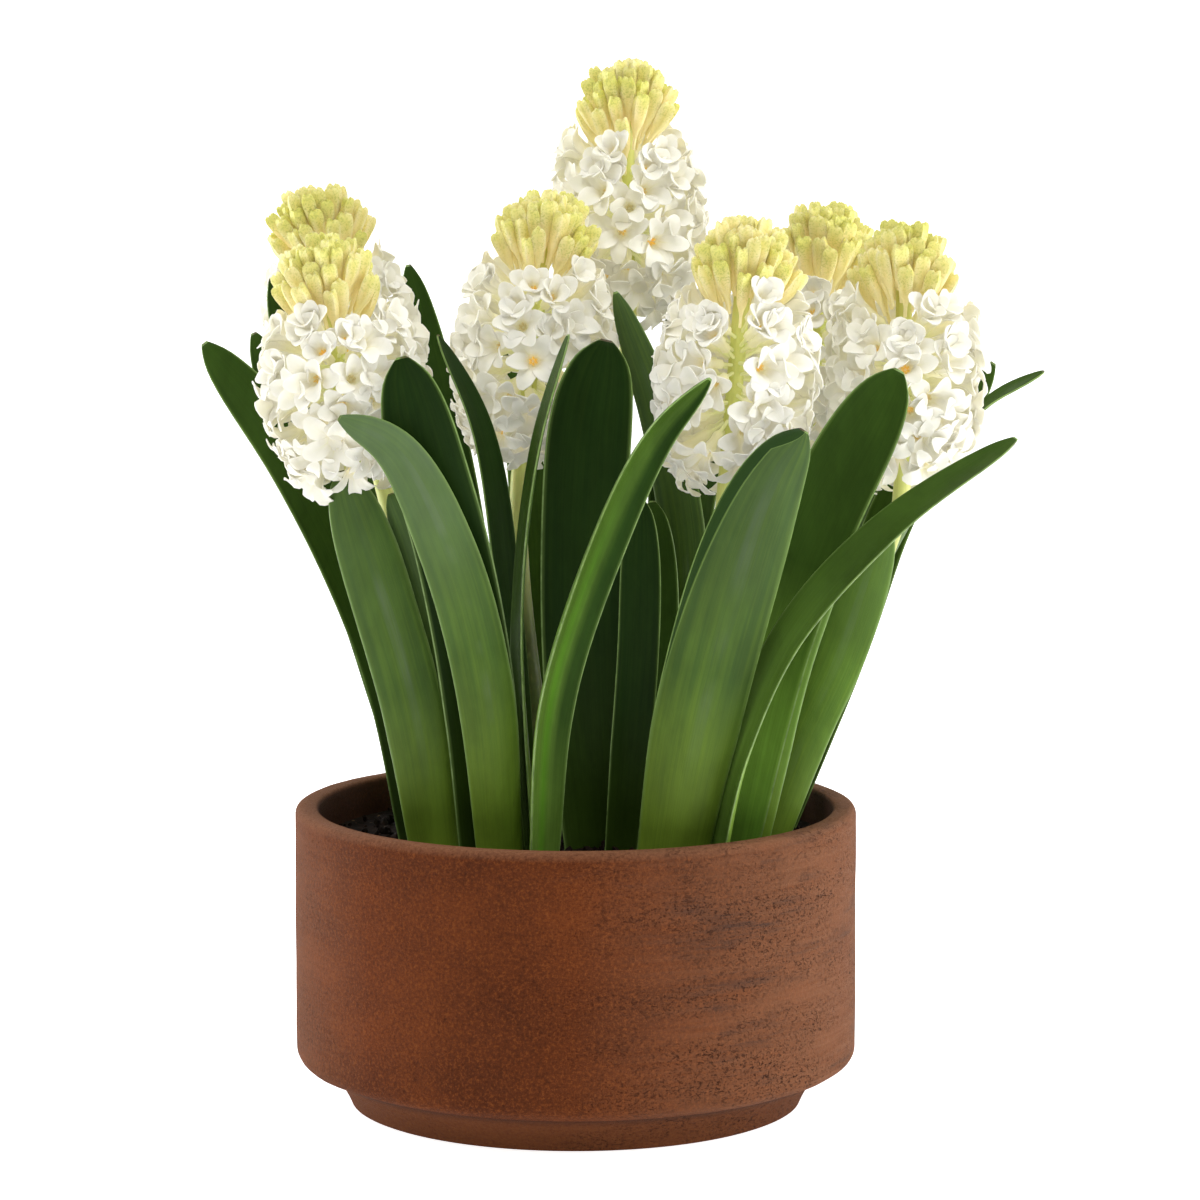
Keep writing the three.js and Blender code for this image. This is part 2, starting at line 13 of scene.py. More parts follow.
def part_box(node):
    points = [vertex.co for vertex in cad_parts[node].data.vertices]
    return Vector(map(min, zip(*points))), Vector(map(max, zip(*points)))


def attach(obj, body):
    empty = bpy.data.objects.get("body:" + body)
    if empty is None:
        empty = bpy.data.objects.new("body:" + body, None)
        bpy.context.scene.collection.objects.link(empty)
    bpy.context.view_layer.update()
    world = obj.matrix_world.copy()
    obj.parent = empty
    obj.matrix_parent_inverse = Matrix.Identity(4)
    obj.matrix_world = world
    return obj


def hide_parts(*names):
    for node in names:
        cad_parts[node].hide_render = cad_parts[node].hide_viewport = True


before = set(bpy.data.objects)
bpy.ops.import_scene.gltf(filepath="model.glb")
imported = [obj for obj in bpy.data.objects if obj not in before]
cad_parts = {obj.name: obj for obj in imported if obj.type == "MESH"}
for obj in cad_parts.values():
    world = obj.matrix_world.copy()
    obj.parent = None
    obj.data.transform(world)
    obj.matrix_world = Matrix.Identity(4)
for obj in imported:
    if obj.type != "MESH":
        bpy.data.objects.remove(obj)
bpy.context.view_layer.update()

bl_info = {
    "name": "Potted hyacinths",
    "version": (1, 0, 0),
    "blender": (4, 5, 0),
    "location": "3D View > Sidebar > Hyacinths",
    "description": "Builds and finishes seven white hyacinths in a round clay pot",
    "category": "Add Mesh",
}

MM = 0.001
BODY = "root"
GOLDEN_ANGLE = math.radians(137.508)
ANY_TURN = (0, 6)
UP = Vector((0, 0, 1))


def shade(code):
    """A colour written as six hexadecimal digits, as Blender's linear red, green and blue."""
    parts = [int(code[i:i + 2], 16) / 255 for i in (0, 2, 4)]
    return tuple(c / 12.92 if c <= 0.04045 else ((c + 0.055) / 1.055) ** 2.4 for c in parts)


def between(first, last, share):
    return first + (last - first) * share


def eased(share):
    """0 to 1 with a slow start and a slow end."""
    held = min(1.0, max(0.0, share))
    return held * held * (3 - 2 * held)


# Pot, mm. The cove's steps are shares of its width and of the foot's height. The foot, the lip's
# inner edge and the inner corner share one bevel.
FOOT_RADIUS = 81
FOOT_HEIGHT = 13.4
FOOT_COVE = 10.5
FOOT_COVE_STEPS = [(0.1, 0.28), (0.24, 0.48), (0.44, 0.67), (0.7, 0.86), (1, 1)]
BEVEL = 1.5
SHOULDER_ROUND = 5.5
SHOULDER_HEIGHT = 20.5
LIP_ROUND = 2.8
LIP_WIDTH = 8.5
FLOOR_THICKNESS = 10
FLOOR_RADIUS = 82
INNER_CORNER = 8
WALL_STEP = 1.6
WALL_WAVE = 30

# Soil, mm. It keeps its gap from the pot, and its lumps rise to its top.
SOIL_TOP = 95
SOIL_GAP = 0.4
SOIL_SIDES = 120
SOIL_RINGS = 26
SOIL_LUMP = 9
SOIL_RELIEF = 3.4
SOIL_BED_DROP = 0.6
SOIL_RING_POWER = 0.8
CRUMB_MODELS = 4
CRUMB_DEPTHS = (0.6, 1.1)
CRUMB_HEIGHTS = (1.5, 0.6)
CRUMB_JAGS = 0.35
CRUMB_FROM_WALL = 3
CRUMB_LEVELS = (-0.6, 1.2)
CRUMB_SIZES = (0.45, 0.6, 0.8, 1.0, 1.5)

# Bulbs, mm. Their outline is in shares of the radius, and millimetres over the bottom.
BULB_BOTTOM = 46
BULB_HEIGHT = 37
BULB_RADIUS = 18
BULB_OUTLINE = [
    (0.3, 0), (0.5, 0.6), (0.62, 2.4), (0.86, 7.4), (0.99, 14.8), (0.96, 20.35), (0.8, 26.64), (0.5, 32.56),
    (0.34, 36), (0.3, 37), (0.22, 35.5)]
BULB_SIDES = 28
BULB_RIBS = 7
BULB_RIB_DEPTH = 0.025

# Stems, mm
STEM_IN_BULB = 10
STEM_STRAIGHT_TOP = 98
STEM_IN_HEAD = 74
STEM_BELOW_HEAD = 3
STEM_SOIL_PULL = 5
STEM_HEAD_PULL = 20
STEM_PALE_ABOVE = 30

# Leaves, mm. The wrap is the angle, in radians, that the blade curls round its own length, at its
# foot and from its middle on.
LEAF_ROOT = 9
LEAF_THICKNESS = 1.9
LEAF_TIP_THICKNESS = 1.2
LEAF_EDGE = 0.8
LEAF_COLUMNS = 8
LEAF_ROWS = 34
LEAF_WRAP = (1.5, 0.7)
LEAF_FOOT_SHARE = 0.84
LEAF_FULL_AT = 0.3
LEAF_RIPPLE = (0.15, 0.4)
LEAF_RIPPLE_TURNS = 9
LEAF_PATH_STEPS = 200
LEAF_HOLLOW_FOOT = 0.12
LEAF_MARKS = {"young": 0, "bloom": 0.35, "fold": 0, "pale_foot": 0, "hood": 0}

# How a leaf tapers, from a blunt tip to a pointed one
LEAF_TAPER_FROM = (0.72, 0.42)
LEAF_TAPER_POWER = (3.2, 2)
LEAF_TIP_LOSS = (0.985, 0.995)

# Florets, mm and degrees. A model stands on its stalk, with its throat up Z. Spreads are the lowest
# and highest share of the usual size, or how far to either side.
TEPALS = 6
TEPAL_COLUMNS = 4
TEPAL_ROWS = 5
TEPAL_THICKNESS = 0.4
TEPAL_STEPS = 30
TEPAL_WIDEST = 0.6
TEPAL_FOOT_SHARE = 0.56
TEPAL_END = 1.2
TEPAL_ROUNDING = 0.16
TEPAL_FLATTENING = 0.75
TEPAL_CURL_POWER = 1.5
TEPAL_RUFFLE_TURNS = 6
TEPAL_TURNS = (-0.1, 0.1)
TEPAL_LENGTHS = (0.92, 1.06)
TEPAL_WIDTHS = (0.92, 1.08)
TEPAL_LEANS = (-15, 15)
INNER_TEPAL_WIDTH = 0.92
INNER_TEPAL_LEAN = 12
TEPAL_TWIST = 0.5
TEPAL_RUFFLE = (0.04, 0.12)
THROAT_RADIUS = 2.3
THROAT_RISE = 0.4
ANTHER_RADIUS = 0.6
ANTHER_TURN = 0.5
ANTHER_SHAPE = (0.8, 0.8, 2.2, 1)
ANTHER_PLACE = (1.0, 0, -0.8)
ANTHER_LEAN = 0.3
FLORET_LOWEST = 12.5
FLORETS_BELOW_TOP = 40
FLORET_LIFT = (-44, 32)
FLORET_ROOT = 2.2
FLORET_MODELS = 3
FLORET_SIZES = (0.92, 1.06)
FLORET_LEANS = (-14, 14)
FLORET_SHIFTS = (-1.5, 1.5)
FLORET_TURNS = (-0.22, 0.22)
FLORET_ROLLS = (0, 1.05)

# A head is fullest in its middle. Its ends are these shares of half a turn, and the florets there
# are smaller, down to a share of their usual size.
HEAD_FULLNESS = (0.26, 0.74)
HEAD_END_SIZE = 0.72

# How florets open, from the foot of a head up, each until a share of its height: the lean of their
# petals at the throat and at the tips, in degrees from the floret's axis, how far they cup across,
# and their length and width against a full open floret's
OPENINGS = {
    "drooping": {"until": 0.2, "lean": (26, 150), "cup": 0.3, "length": 1.08, "width": 0.8},
    "recurved": {"until": 0.5, "lean": (24, 124), "cup": 0.34, "length": 1.06, "width": 0.94},
    "open": {"until": 0.76, "lean": (18, 98), "cup": 0.4, "length": 1.0, "width": 1.02},
    "cupped": {"until": 1, "lean": (8, 74), "cup": 0.5, "length": 0.9, "width": 1.04},
}

# Buds, mm. Their outline is in shares of the radius and the length. Their tips lie on a dome with
# steep sides, so deep from the head's top to its rim.
BUD_SIDES = 6
BUD_OUTLINE = [
    (0.2, 0), (0.22, 0.2), (0.42, 0.34), (0.74, 0.46), (0.9, 0.6), (1.0, 0.8), (0.95, 0.91), (0.76, 0.975),
    (0.34, 1)]
BUD_RIDGES = 3
BUD_RIDGE = 0.12
BUD_NOTCH = 0.026
BUD_ROOT = 8.4
BUD_SIZES = (0.84, 1.06)
BUD_SPREADS = (0.8, 1.1)
BUD_SHIFTS = (-4.8, 0.8)
BUD_TURNS = (-0.1, 0.1)
BUD_ROLLS = (0, 2)
BUD_RIDGES_FROM = 0.2
BUD_WIDTHS = (0.92, 1.0, 1.1)
CROWN_DEPTH = 17
CROWN_STEEPNESS = 3.5
CROWN_RADIUS = 19.6

# Stage, m. The paper's glow is what the plant sees of it. Lights: name, whether it stands beside the
# plant, place and size.
PAPER_SIZE = 9
PAPER_MIDDLE = (0, -1.5, 0)
PAPER_RISE = 4
PAPER_BEND = 1.2
PAPER_GLOW = 0.6
LIGHTS = [
    ("left_light", True, (-1.3, 0.55, 0.55), (1.0, 1.4)),
    ("right_light", True, (1.4, -0.15, 0.55), (1.2, 1.4)),
    ("top_light", False, (0, -0.7, 1.6), (1.4, 1.0)),
]
LIGHTS_AIM = Vector((0, 0, 0.2))
SENSOR_WIDTH = 36

# What the random draws start from
SOIL_SEED = 11
LEAF_SEED = 23
FLORET_SEED = 37
BUD_SEED = 41


def leaf(width, face, tip, young, *path, **marks):
    """A leaf of a plant. Its path runs from the soil to its tip, in mm.

    Face is the way its hollow side looks, in degrees round from +X, at the soil and at the tip. Tip is
    0 for a blunt leaf and 1 for a pointed one. Young is 1 on a fresh yellow-green leaf. The marks:
    bloom is a pale painted sheen on its outer side, a painted reflection, wrap its curl towards
    the tip, fold a painted lit groove with a painted shaded side, hood a painted turned-over margin
    behind its tip, and pale_foot a yellow-green lower half, painted lighter where it lies in shade.
    """
    return {"width": width, "face": face, "tip": tip, "young": young, "path": path, **marks}


def plant(bulb, foot, top, *leaves, parting=None):
    """A plant: its bulb, the foot and the top of its flower head, and its leaves, in mm.

    A parting is where a head is open and its stem shows: its middle and half its width, in degrees.
    """
    return {"bulb": bulb, "head": (foot, top), "leaves": leaves, "parting": parting}


PLANTS = [
    plant(
        (-2, 52), (19, 58, 281), (18, 58, 370),
        leaf(16, (-90, -90), 0.5, 0.1, (25, 24), (32, 26, 177), (36, 30, 285)),
        leaf(26, (-90, -90), 0.4, 0.2, (-8, 66), (-12, 86, 200), (-20, 112, 286)),
        leaf(25, (-110, -110), 0.4, 0.2, (30, 62), (40, 84, 200), (54, 108, 272)),
    ),
    plant(
        (-48, 34), (-76, 60, 235), (-98, 66, 324),
        leaf(18, (-75, -75), 0.3, 0.2, (-52, 4), (-77, 13, 178), (-99, 18, 235), (-115, 20, 274)),
        leaf(16, (-80, -80), 0.2, 0.1, (-33, 58), (-41, 83, 190), (-63, 99, 294)),
        leaf(16, (-80, -80), 0.2, 0.1, (-45, 17), (-78, 25, 191), (-109, 28, 293)),
        leaf(27, (-60, -60), 0.4, 0.3, (-54, 52), (-66, 76, 190), (-84, 104, 258)),
    ),
    plant(
        (-48, -20), (-77, -28, 229), (-88, -28, 311),
        leaf(22, (-70, -75), 0.4, 0.2, (-55, -13), (-68, -3, 161), (-99, 7, 228), (-132, 11, 271)),
        leaf(23, (90, 85), 0.2, 0.3, (-49, -36), (-56, -40, 145), (-68, -39, 189), (-81, -36, 230)),
        leaf(17, (90, 80), 0.4, 0.2, (-34, -30), (-44, -34, 162), (-57, -35, 206), (-64, -35, 222)),
    ),
    plant(
        (-11, -14), (-19, 14, 234), (-9, 16, 325),
        leaf(21, (90, 95), 0.7, 0.3, (-26, -46), (-31, -54, 156), (-43, -60, 204), (-61, -64, 240),
             (-80, -66, 251), bloom=1),
        leaf(27, (-88, -98), 0, 0, (-30, -36), (-33, -40, 150), (-41, -51, 201), (-51, -55, 239),
             (-59, -55, 271)),
        leaf(14.5, (-35, -35), 0.6, 0, (-17, -24), (-24, -22, 183), (-33, -21, 243), (-48, -20, 276)),
        leaf(15, (-165, -165), 0.6, 0.3, (-14, -41), (-19, -40, 178), (-13, -38, 237), (-2, -32, 277)),
        leaf(31, (-90, -85), 0, 0, (8, -19), (3, -21, 169), (5, -22, 243), (11, -16, 274)),
        leaf(21.5, (-35, -55), 0.9, 0.5, (-13, -55), (-9, -58, 153), (8, -64, 207), (27, -68, 245),
             (46, -72, 265), wrap=2.2, fold=1, pale_foot=0.5),
    ),
    plant(
        (34, -46), (53, -28, 229), (60, -28, 317),
        leaf(32, (92, 92), 0.6, 0.1, (33, -62), (41, -66, 142), (55, -70, 198), (67, -69, 230),
             (78, -68, 247), hood=1),
        leaf(28, (-105, -105), 0.1, 0.2, (53, -44), (67, -42, 163), (88, -38, 220), (112, -36, 265),
             pale_foot=0.8),
        leaf(20, (-160, -150), 0.6, 0.35, (50, -60), (58, -62, 136), (75, -63, 177), (108, -59, 213),
             (152, -44, 242), pale_foot=0.4),
        leaf(15, (-90, -90), 0.2, 0, (16, -30), (22, -33, 167), (23, -33, 220)),
        leaf(17, (-75, -75), 0.2, 0.2, (23, -16), (28, -13, 168), (27, -12, 217)),
        parting=(-94, 17),
    ),
    plant(
        (42, 42), (84, 58, 232), (93, 62, 319),
        leaf(17, (80, 80), 0.7, 0.1, (26, -6), (39, 4, 180), (32, 8, 236), (14, 14, 289)),
        leaf(27, (-130, -130), 0.4, 0.3, (57, 57), (80, 82, 190), (110, 108, 248)),
    ),
    plant(
        (58, -4), (116, 4, 226), (116, 6, 314),
        leaf(19, (75, 75), 0.2, 1, (59, -34), (73, -29, 160), (93, -27, 217)),
        leaf(19, (170, 190), 0.9, 0.35, (71, -8), (84, 1, 137), (98, 9, 165), (122, 27, 208),
             (146, 33, 245), (169, 34, 259)),
        leaf(18, (-105, -105), 0.3, 0.3, (73, 20), (99, 35, 161), (118, 43, 212), (152, 50, 261)),
        leaf(20, (80, 80), 0.3, 1, (66, -22), (79, -16, 132), (92, -13, 161), (103, -11, 192),
             (109, -12, 210)),
        leaf(25, (-150, -150), 0.4, 0.3, (61, 30), (98, 58, 185), (137, 84, 236)),
    ),
]


# Settings that a user may change

def paint(name, description, code):
    """A colour that a user may change, given in six hexadecimal digits."""
    return FloatVectorProperty(name=name, description=description, default=shade(code), subtype="COLOR")


def extent(name, description, default):
    """A length that a user may change, in metres."""
    return FloatProperty(name=name, description=description, default=default, unit="LENGTH")


class PotSettings(bpy.types.PropertyGroup):
    """Size and colours of the clay pot."""

    radius: extent("Radius", "Half the width of the wall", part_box("pot")[1].x)
    height: extent("Height", "From the foot to the top of the lip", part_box("pot")[1].z)
    sides: IntProperty(name="Sides", description="Faces round the wall", default=360)
    relief: extent("Relief", "How far the hand-turned wall waves", 0.7 * MM)
    clay: paint("Clay", "The fired clay", "562a12")
    bright: paint("Bright clay", "Orange patches in the clay", "783e1c")
    worn: paint("Worn clay", "Dusty, rubbed clay", "8a5f45")
    smoked: paint("Smoked clay", "Dark smudges from the kiln", "46332b")


class SoilSettings(bpy.types.PropertyGroup):
    """Size and colours of the potting soil."""

    crumbs: IntProperty(name="Crumbs", description="How many crumbs lie on the soil", default=1300)
    crumb_radius: extent("Crumb radius", "A middling crumb", 1.5 * MM)
    damp: paint("Damp", "Damp soil", "150d08")
    dry: paint("Dry", "Dry crumbs", "38251a")


class BulbSettings(bpy.types.PropertyGroup):
    """Looks of the buried bulbs."""

    tunic: paint("Tunic", "The papery outer skin", "b99c78")
    scale: paint("Scale", "The pale flesh between the ribs", "e4d6bd")


class StemSettings(bpy.types.PropertyGroup):
    """Size and colours of the flower stems."""

    radius: extent("Radius", "At the bulb", 3.5 * MM)
    top_radius: extent("Top radius", "In the head", 2.8 * MM)
    low: paint("Low", "Near the soil", "56672c")
    high: paint("High", "Inside the head", "dde286")


class LeafSettings(bpy.types.PropertyGroup):
    """Colours of the strap leaves."""

    foot: paint("Foot", "Outer side near the soil", "7f9c2e")
    outer: paint("Outer side", "Outer side of the blade", "3a5520")
    hollow: paint("Hollow side", "Hollow side of the blade", "1c330c")
    young: paint("Young leaf", "A fresh yellow-green leaf", "6a9032")
    edge: paint("Edge", "The thin light edge", "7d9a50")
    bloom: paint("Sheen", "The pale waxy streak", "6b7c62")


class FloretSettings(bpy.types.PropertyGroup):
    """Number, size and colours of the open florets."""

    count: IntProperty(name="Florets", description="Open florets on a head", default=72)
    tube: extent("Tube", "From the stem to the throat", 17 * MM)
    tepal: extent("Tepal", "Length of a petal", 12.4 * MM)
    width: extent("Width", "Width of a petal", 7.0 * MM)
    white: paint("White", "The petals", "f4f1e5")
    throat: paint("Throat", "Deep in the floret", "f0ecc2")
    stalk: paint("Stalk", "The short stalk", "dde291")
    pollen: paint("Pollen", "The anthers", "f2cf74")


class BudSettings(bpy.types.PropertyGroup):
    """Number, size and colours of the closed buds."""

    count: IntProperty(name="Buds", description="Closed buds on a head", default=56)
    length: extent("Length", "Of a bud with its stalk", 22 * MM)
    radius: extent("Radius", "Of a bud", 3.0 * MM)
    body: paint("Body", "The closed petals", "f0e49e")
    warm: paint("Warm", "The warm lower half", "f4eac0")
    tip: paint("Tip", "The green tip", "d4d16c")


class StageSettings(bpy.types.PropertyGroup):
    """Camera, floor and light."""

    distance: extent("Distance", "Camera to the pot's axis", 1.59)
    height: extent("Height", "Of the camera above the floor", 0.385)
    across: extent("Across", "Camera right of the axis", 0.0087)
    tilt: FloatProperty(
        name="Tilt", description="How far the camera looks down", default=math.radians(7.34), unit="ROTATION")
    lens: FloatProperty(name="Lens", description="Focal length in millimetres", default=135.5)
    key: FloatProperty(name="Side light", description="Power of each side light in watts", default=20)
    top: FloatProperty(name="Top light", description="Power of the top light in watts", default=15)
    sky: FloatProperty(name="Sky", description="Strength of the light from all round", default=0.4)
    glow: FloatProperty(name="Glow", description="Strength of the light through the backdrop", default=0.9)
    floor: FloatVectorProperty(
        name="Floor", description="Floor and backdrop", default=(0.86, 0.86, 0.86), subtype="COLOR")


SETTINGS = {
    "hyacinth_pot": PotSettings,
    "hyacinth_soil": SoilSettings,
    "hyacinth_bulb": BulbSettings,
    "hyacinth_stem": StemSettings,
    "hyacinth_leaf": LeafSettings,
    "hyacinth_floret": FloretSettings,
    "hyacinth_bud": BudSettings,
    "hyacinth_stage": StageSettings,
}


# Selecting, modelling and placing

def only(*objects):
    """Leaves just these objects selected, with the last of them active."""
    bpy.ops.object.select_all(action="DESELECT")
    for obj in objects:
        obj.select_set(True)
    bpy.context.view_layer.objects.active = objects[-1]


def added(name):
    """The primitive that was just added, named and alone selected."""
    obj = bpy.context.view_layer.objects.active
    obj.name = name
    obj.data.name = name
    only(obj)
    return obj


def modify(obj, kind, **settings):
    """Adds a modifier and applies it."""
    only(obj)
    modifier = obj.modifiers.new(kind.title(), kind)
    for key, value in settings.items():
        setattr(modifier, key, value)
    bpy.ops.object.modifier_apply(modifier=modifier.name)


def weighted(obj, name, weight_of):
    """A vertex group whose weights come from each vertex."""
    group = obj.vertex_groups.new(name=name)
    for vertex in obj.data.vertices:
        group.add([vertex.index], weight_of(vertex), "REPLACE")
    return group.name


def graded(obj, name, value_of):
    """A number on each vertex, for the materials to read."""
    values = obj.data.attributes.new(name, "FLOAT", "POINT")
    for vertex in obj.data.vertices:
        values.data[vertex.index].value = value_of(vertex.co)


def turned(name, outline, sides):
    """A closed round solid: a disc whose top is pulled, ring by ring, through [radius, height] points."""
    (low_radius, low), (radius, height) = outline[:2]
    bpy.ops.mesh.primitive_cylinder_add(
        vertices=sides, radius=low_radius, depth=height - low, location=(0, 0, (low + height) / 2))
    obj = added(name)
    bpy.ops.object.transform_apply(location=True, rotation=False, scale=False)
    bpy.ops.object.mode_set(mode="EDIT")
    bpy.ops.mesh.select_mode(type="FACE")
    bpy.ops.mesh.select_all(action="DESELECT")
    mesh = bmesh.from_edit_mesh(obj.data)
    top = max(mesh.faces, key=lambda face: face.calc_center_median().z)
    top.select_set(True)
    bmesh.update_edit_mesh(obj.data)
    grow = radius / low_radius
    bpy.ops.transform.resize(value=(grow, grow, 1), center_override=(0, 0, height))
    for (last_radius, last), (radius, height) in zip(outline[1:], outline[2:]):
        bpy.ops.mesh.extrude_region_move(TRANSFORM_OT_translate={"value": (0, 0, height - last)})
        grow = radius / last_radius
        bpy.ops.transform.resize(value=(grow, grow, 1), center_override=(0, 0, height))
    bpy.ops.object.mode_set(mode="OBJECT")
    return obj


def arc(centre_radius, centre_height, radius, start, end, steps):
    """Outline points on an arc, angles in degrees."""
    angles = [math.radians(between(start, end, i / steps)) for i in range(steps + 1)]
    return [(centre_radius + radius * math.cos(a), centre_height + radius * math.sin(a)) for a in angles]


def stepped(start, end, step):
    """Outline points on a straight stretch, a step apart, without its two ends."""
    count = max(1, round(math.dist(start, end) / step))
    return [tuple(between(a, b, i / count) for a, b in zip(start, end)) for i in range(1, count)]


def in_metres(outline):
    return [(radius * MM, height * MM) for radius, height in outline]


def joined(name, objects):
    only(*objects)
    if len(objects) > 1:
        bpy.ops.object.join()
    return added(name)


def planted(name, places):
    """Copies models, each with its own mesh, to their places, and joins the copies in one object."""
    copies = []
    for model, place in places:
        copy = model.copy()
        copy.data = model.data.copy()
        copy.data.transform(place)
        bpy.context.collection.objects.link(copy)
        copies.append(copy)
    return joined(name, copies)


def discard(models):
    for model in models:
        bpy.data.objects.remove(model)


def seated(obj, node, sharp=50):
    """Smooths a finished piece up to an angle, sets it on its body and lets it stand for its CAD node."""
    only(obj)
    bpy.ops.object.shade_smooth_by_angle(angle=math.radians(sharp))
    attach(obj, BODY)
    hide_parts(node)


def outward(azimuth, lift):
    return Vector((math.cos(azimuth) * math.cos(lift), math.sin(azimuth) * math.cos(lift), math.sin(lift)))


def head_length(row):
    """From the foot of a flower head to its top, mm."""
    return math.dist(*row["head"])


def head_place(row):
    """Takes the space along a head's own stem, with Z up the stem, to the plant's head."""
    foot, top = (Vector(end) * MM for end in row["head"])
    turn = UP.rotation_difference((top - foot).normalized())
    return Matrix.Translation(foot) @ turn.to_matrix().to_4x4()


def grown(stand, root, azimuth, lift, roll, size):
    """The place of a model that grows out of a head, with its foot at a root in mm."""
    turn = outward(azimuth, lift).to_track_quat("Z", "Y").to_matrix().to_4x4()
    place = stand @ Matrix.Translation(root * MM) @ turn
    return place @ Matrix.Rotation(roll, 4, "Z") @ Matrix.Scale(size, 4)


# Materials

class Nodes:
    """Adds nodes to the tree of a material or a node group, wired as they come."""

    def __init__(self, tree):
        self.tree = tree

    def add(self, kind, inputs, **settings):
        node = self.tree.nodes.new(kind)
        for key, value in settings.items():
            setattr(node, key, value)
        for key, value in inputs.items():
            if isinstance(value, bpy.types.NodeSocket):
                self.tree.links.new(value, node.inputs[key])
            else:
                node.inputs[key].default_value = value
        return node

    def place(self):
        return self.add("ShaderNodeTexCoord", {}).outputs["Object"]

    def map(self):
        return self.add("ShaderNodeUVMap", {}, uv_map="UVMap").outputs[0]

    def read(self, attribute):
        return self.add("ShaderNodeAttribute", {}, attribute_name=attribute).outputs["Fac"]

    def camera_ray(self):
        return self.add("ShaderNodeLightPath", {}).outputs["Is Camera Ray"]

    def apart(self, vector):
        """The X, Y and Z of a vector."""
        return self.add("ShaderNodeSeparateXYZ", {0: vector}).outputs

    def away(self, place):
        """The distance from the pot's axis."""
        flat = self.add("ShaderNodeVectorMath", {0: place, 1: (1, 1, 0)}, operation="MULTIPLY").outputs[0]
        return self.add("ShaderNodeVectorMath", {0: flat}, operation="LENGTH").outputs["Value"]

    def stretched(self, vector, amounts):
        return self.add("ShaderNodeMapping", {"Vector": vector, "Scale": amounts}).outputs[0]

    def noise(self, vector, scale, detail=3.0, roughness=0.5):
        """Cloudy noise, stretched where its scale is given for X, Y and Z."""
        if isinstance(scale, tuple):
            vector, scale = self.stretched(vector, scale), 1.0
        inputs = {"Vector": vector, "Scale": scale, "Detail": detail, "Roughness": roughness}
        return self.add("ShaderNodeTexNoise", inputs).outputs["Fac"]

    def maths(self, operation, first, second=0.0):
        return self.add("ShaderNodeMath", {0: first, 1: second}, operation=operation).outputs[0]

    def times(self, product, *factors):
        for factor in factors:
            product = self.maths("MULTIPLY", product, factor)
        return product

    def larger(self, first, second):
        return self.maths("MAXIMUM", first, second)

    def off(self, value, middle):
        """How far a value is from a middle, on either side."""
        return self.maths("ABSOLUTE", self.maths("SUBTRACT", value, middle))

    def ranged(self, value, low, high, new_low=0.0, new_high=1.0):
        inputs = {0: value, 1: low, 2: high, 3: new_low, 4: new_high}
        return self.add("ShaderNodeMapRange", inputs, clamp=True).outputs[0]

    def falling(self, value, low, high):
        """1 up to the low end, and 0 from the high end on."""
        return self.ranged(value, low, high, 1.0, 0.0)

    def blend(self, share, first, second, mode="MIX"):
        """One colour laid over another."""
        colours = [c if isinstance(c, bpy.types.NodeSocket) else (*c, 1) for c in (first, second)]
        inputs = {0: share, 6: colours[0], 7: colours[1]}
        return self.add("ShaderNodeMix", inputs, data_type="RGBA", blend_type=mode).outputs[2]

    def coats(self, colour, *coats):
        """A colour under one coat after another, each with its share."""
        for share, coat in coats:
            colour = self.blend(share, colour, coat)
        return colour

    def greys(self, colour, value, low, high, dark, light):
        """A colour darkened and lightened by a value."""
        return self.blend(1.0, colour, self.blend(self.ranged(value, low, high), dark, light), "MULTIPLY")

    def bump(self, height, strength, distance, normal=None):
        inputs = {"Height": height, "Strength": strength, "Distance": distance}
        if normal:
            inputs["Normal"] = normal
        return self.add("ShaderNodeBump", inputs).outputs[0]

    def effect(self, name, vector, *numbers):
        """A shared effect with numbers of its own. Its group is built the first time."""
        labels, fill = EFFECTS[name]
        if name not in bpy.data.node_groups:
            sockets = {"Vector": "NodeSocketVector", **dict.fromkeys(labels, "NodeSocketFloat")}
            tree = bpy.data.node_groups.new(name, "ShaderNodeTree")
            for label, kind in sockets.items():
                tree.interface.new_socket(name=label, in_out="INPUT", socket_type=kind)
            tree.interface.new_socket(name="Mask", in_out="OUTPUT", socket_type="NodeSocketFloat")
            inner = Nodes(tree)
            given = inner.add("NodeGroupInput", {}).outputs[:len(sockets)]
            inner.add("NodeGroupOutput", {"Mask": fill(inner, *given)})
        inputs = {"Vector": vector, **dict(zip(labels, numbers))}
        return self.add("ShaderNodeGroup", inputs, node_tree=bpy.data.node_groups[name]).outputs[0]

    def streaks(self, flat, across, along):
        return self.effect("Streaks", flat, across, along)

    def patches(self, place, scale, softness):
        return self.effect("Patches", place, scale, softness)


def fill_streaks(nodes, vector, across, along):
    """Noise drawn out into lines along a UV map's V."""
    amounts = nodes.add("ShaderNodeCombineXYZ", {0: across, 1: along, 2: 1.0}).outputs[0]
    spread = nodes.add("ShaderNodeVectorMath", {0: vector, 1: amounts}, operation="MULTIPLY").outputs[0]
    return nodes.noise(spread, 1.0, 4.0, 0.6)


def fill_patches(nodes, vector, scale, softness):
    """Patches with soft edges, over about half of the surface."""
    cloud = nodes.noise(vector, scale, 3.0, 0.55)
    return nodes.ranged(cloud, nodes.maths("SUBTRACT", 0.5, softness), nodes.maths("ADD", 0.5, softness))


EFFECTS = {
    "Streaks": (("Across", "Along"), fill_streaks),
    "Patches": (("Scale", "Softness"), fill_patches),
}


def material(name, **constants):
    """A material with a Principled surface, and its nodes. Constants are set on the shader's sockets."""
    made = bpy.data.materials.new(name)
    made.use_nodes = True
    surface = made.node_tree.nodes["Principled BSDF"]
    for key, value in constants.items():
        surface.inputs[key.replace("_", " ")].default_value = value
    return made, Nodes(made.node_tree)


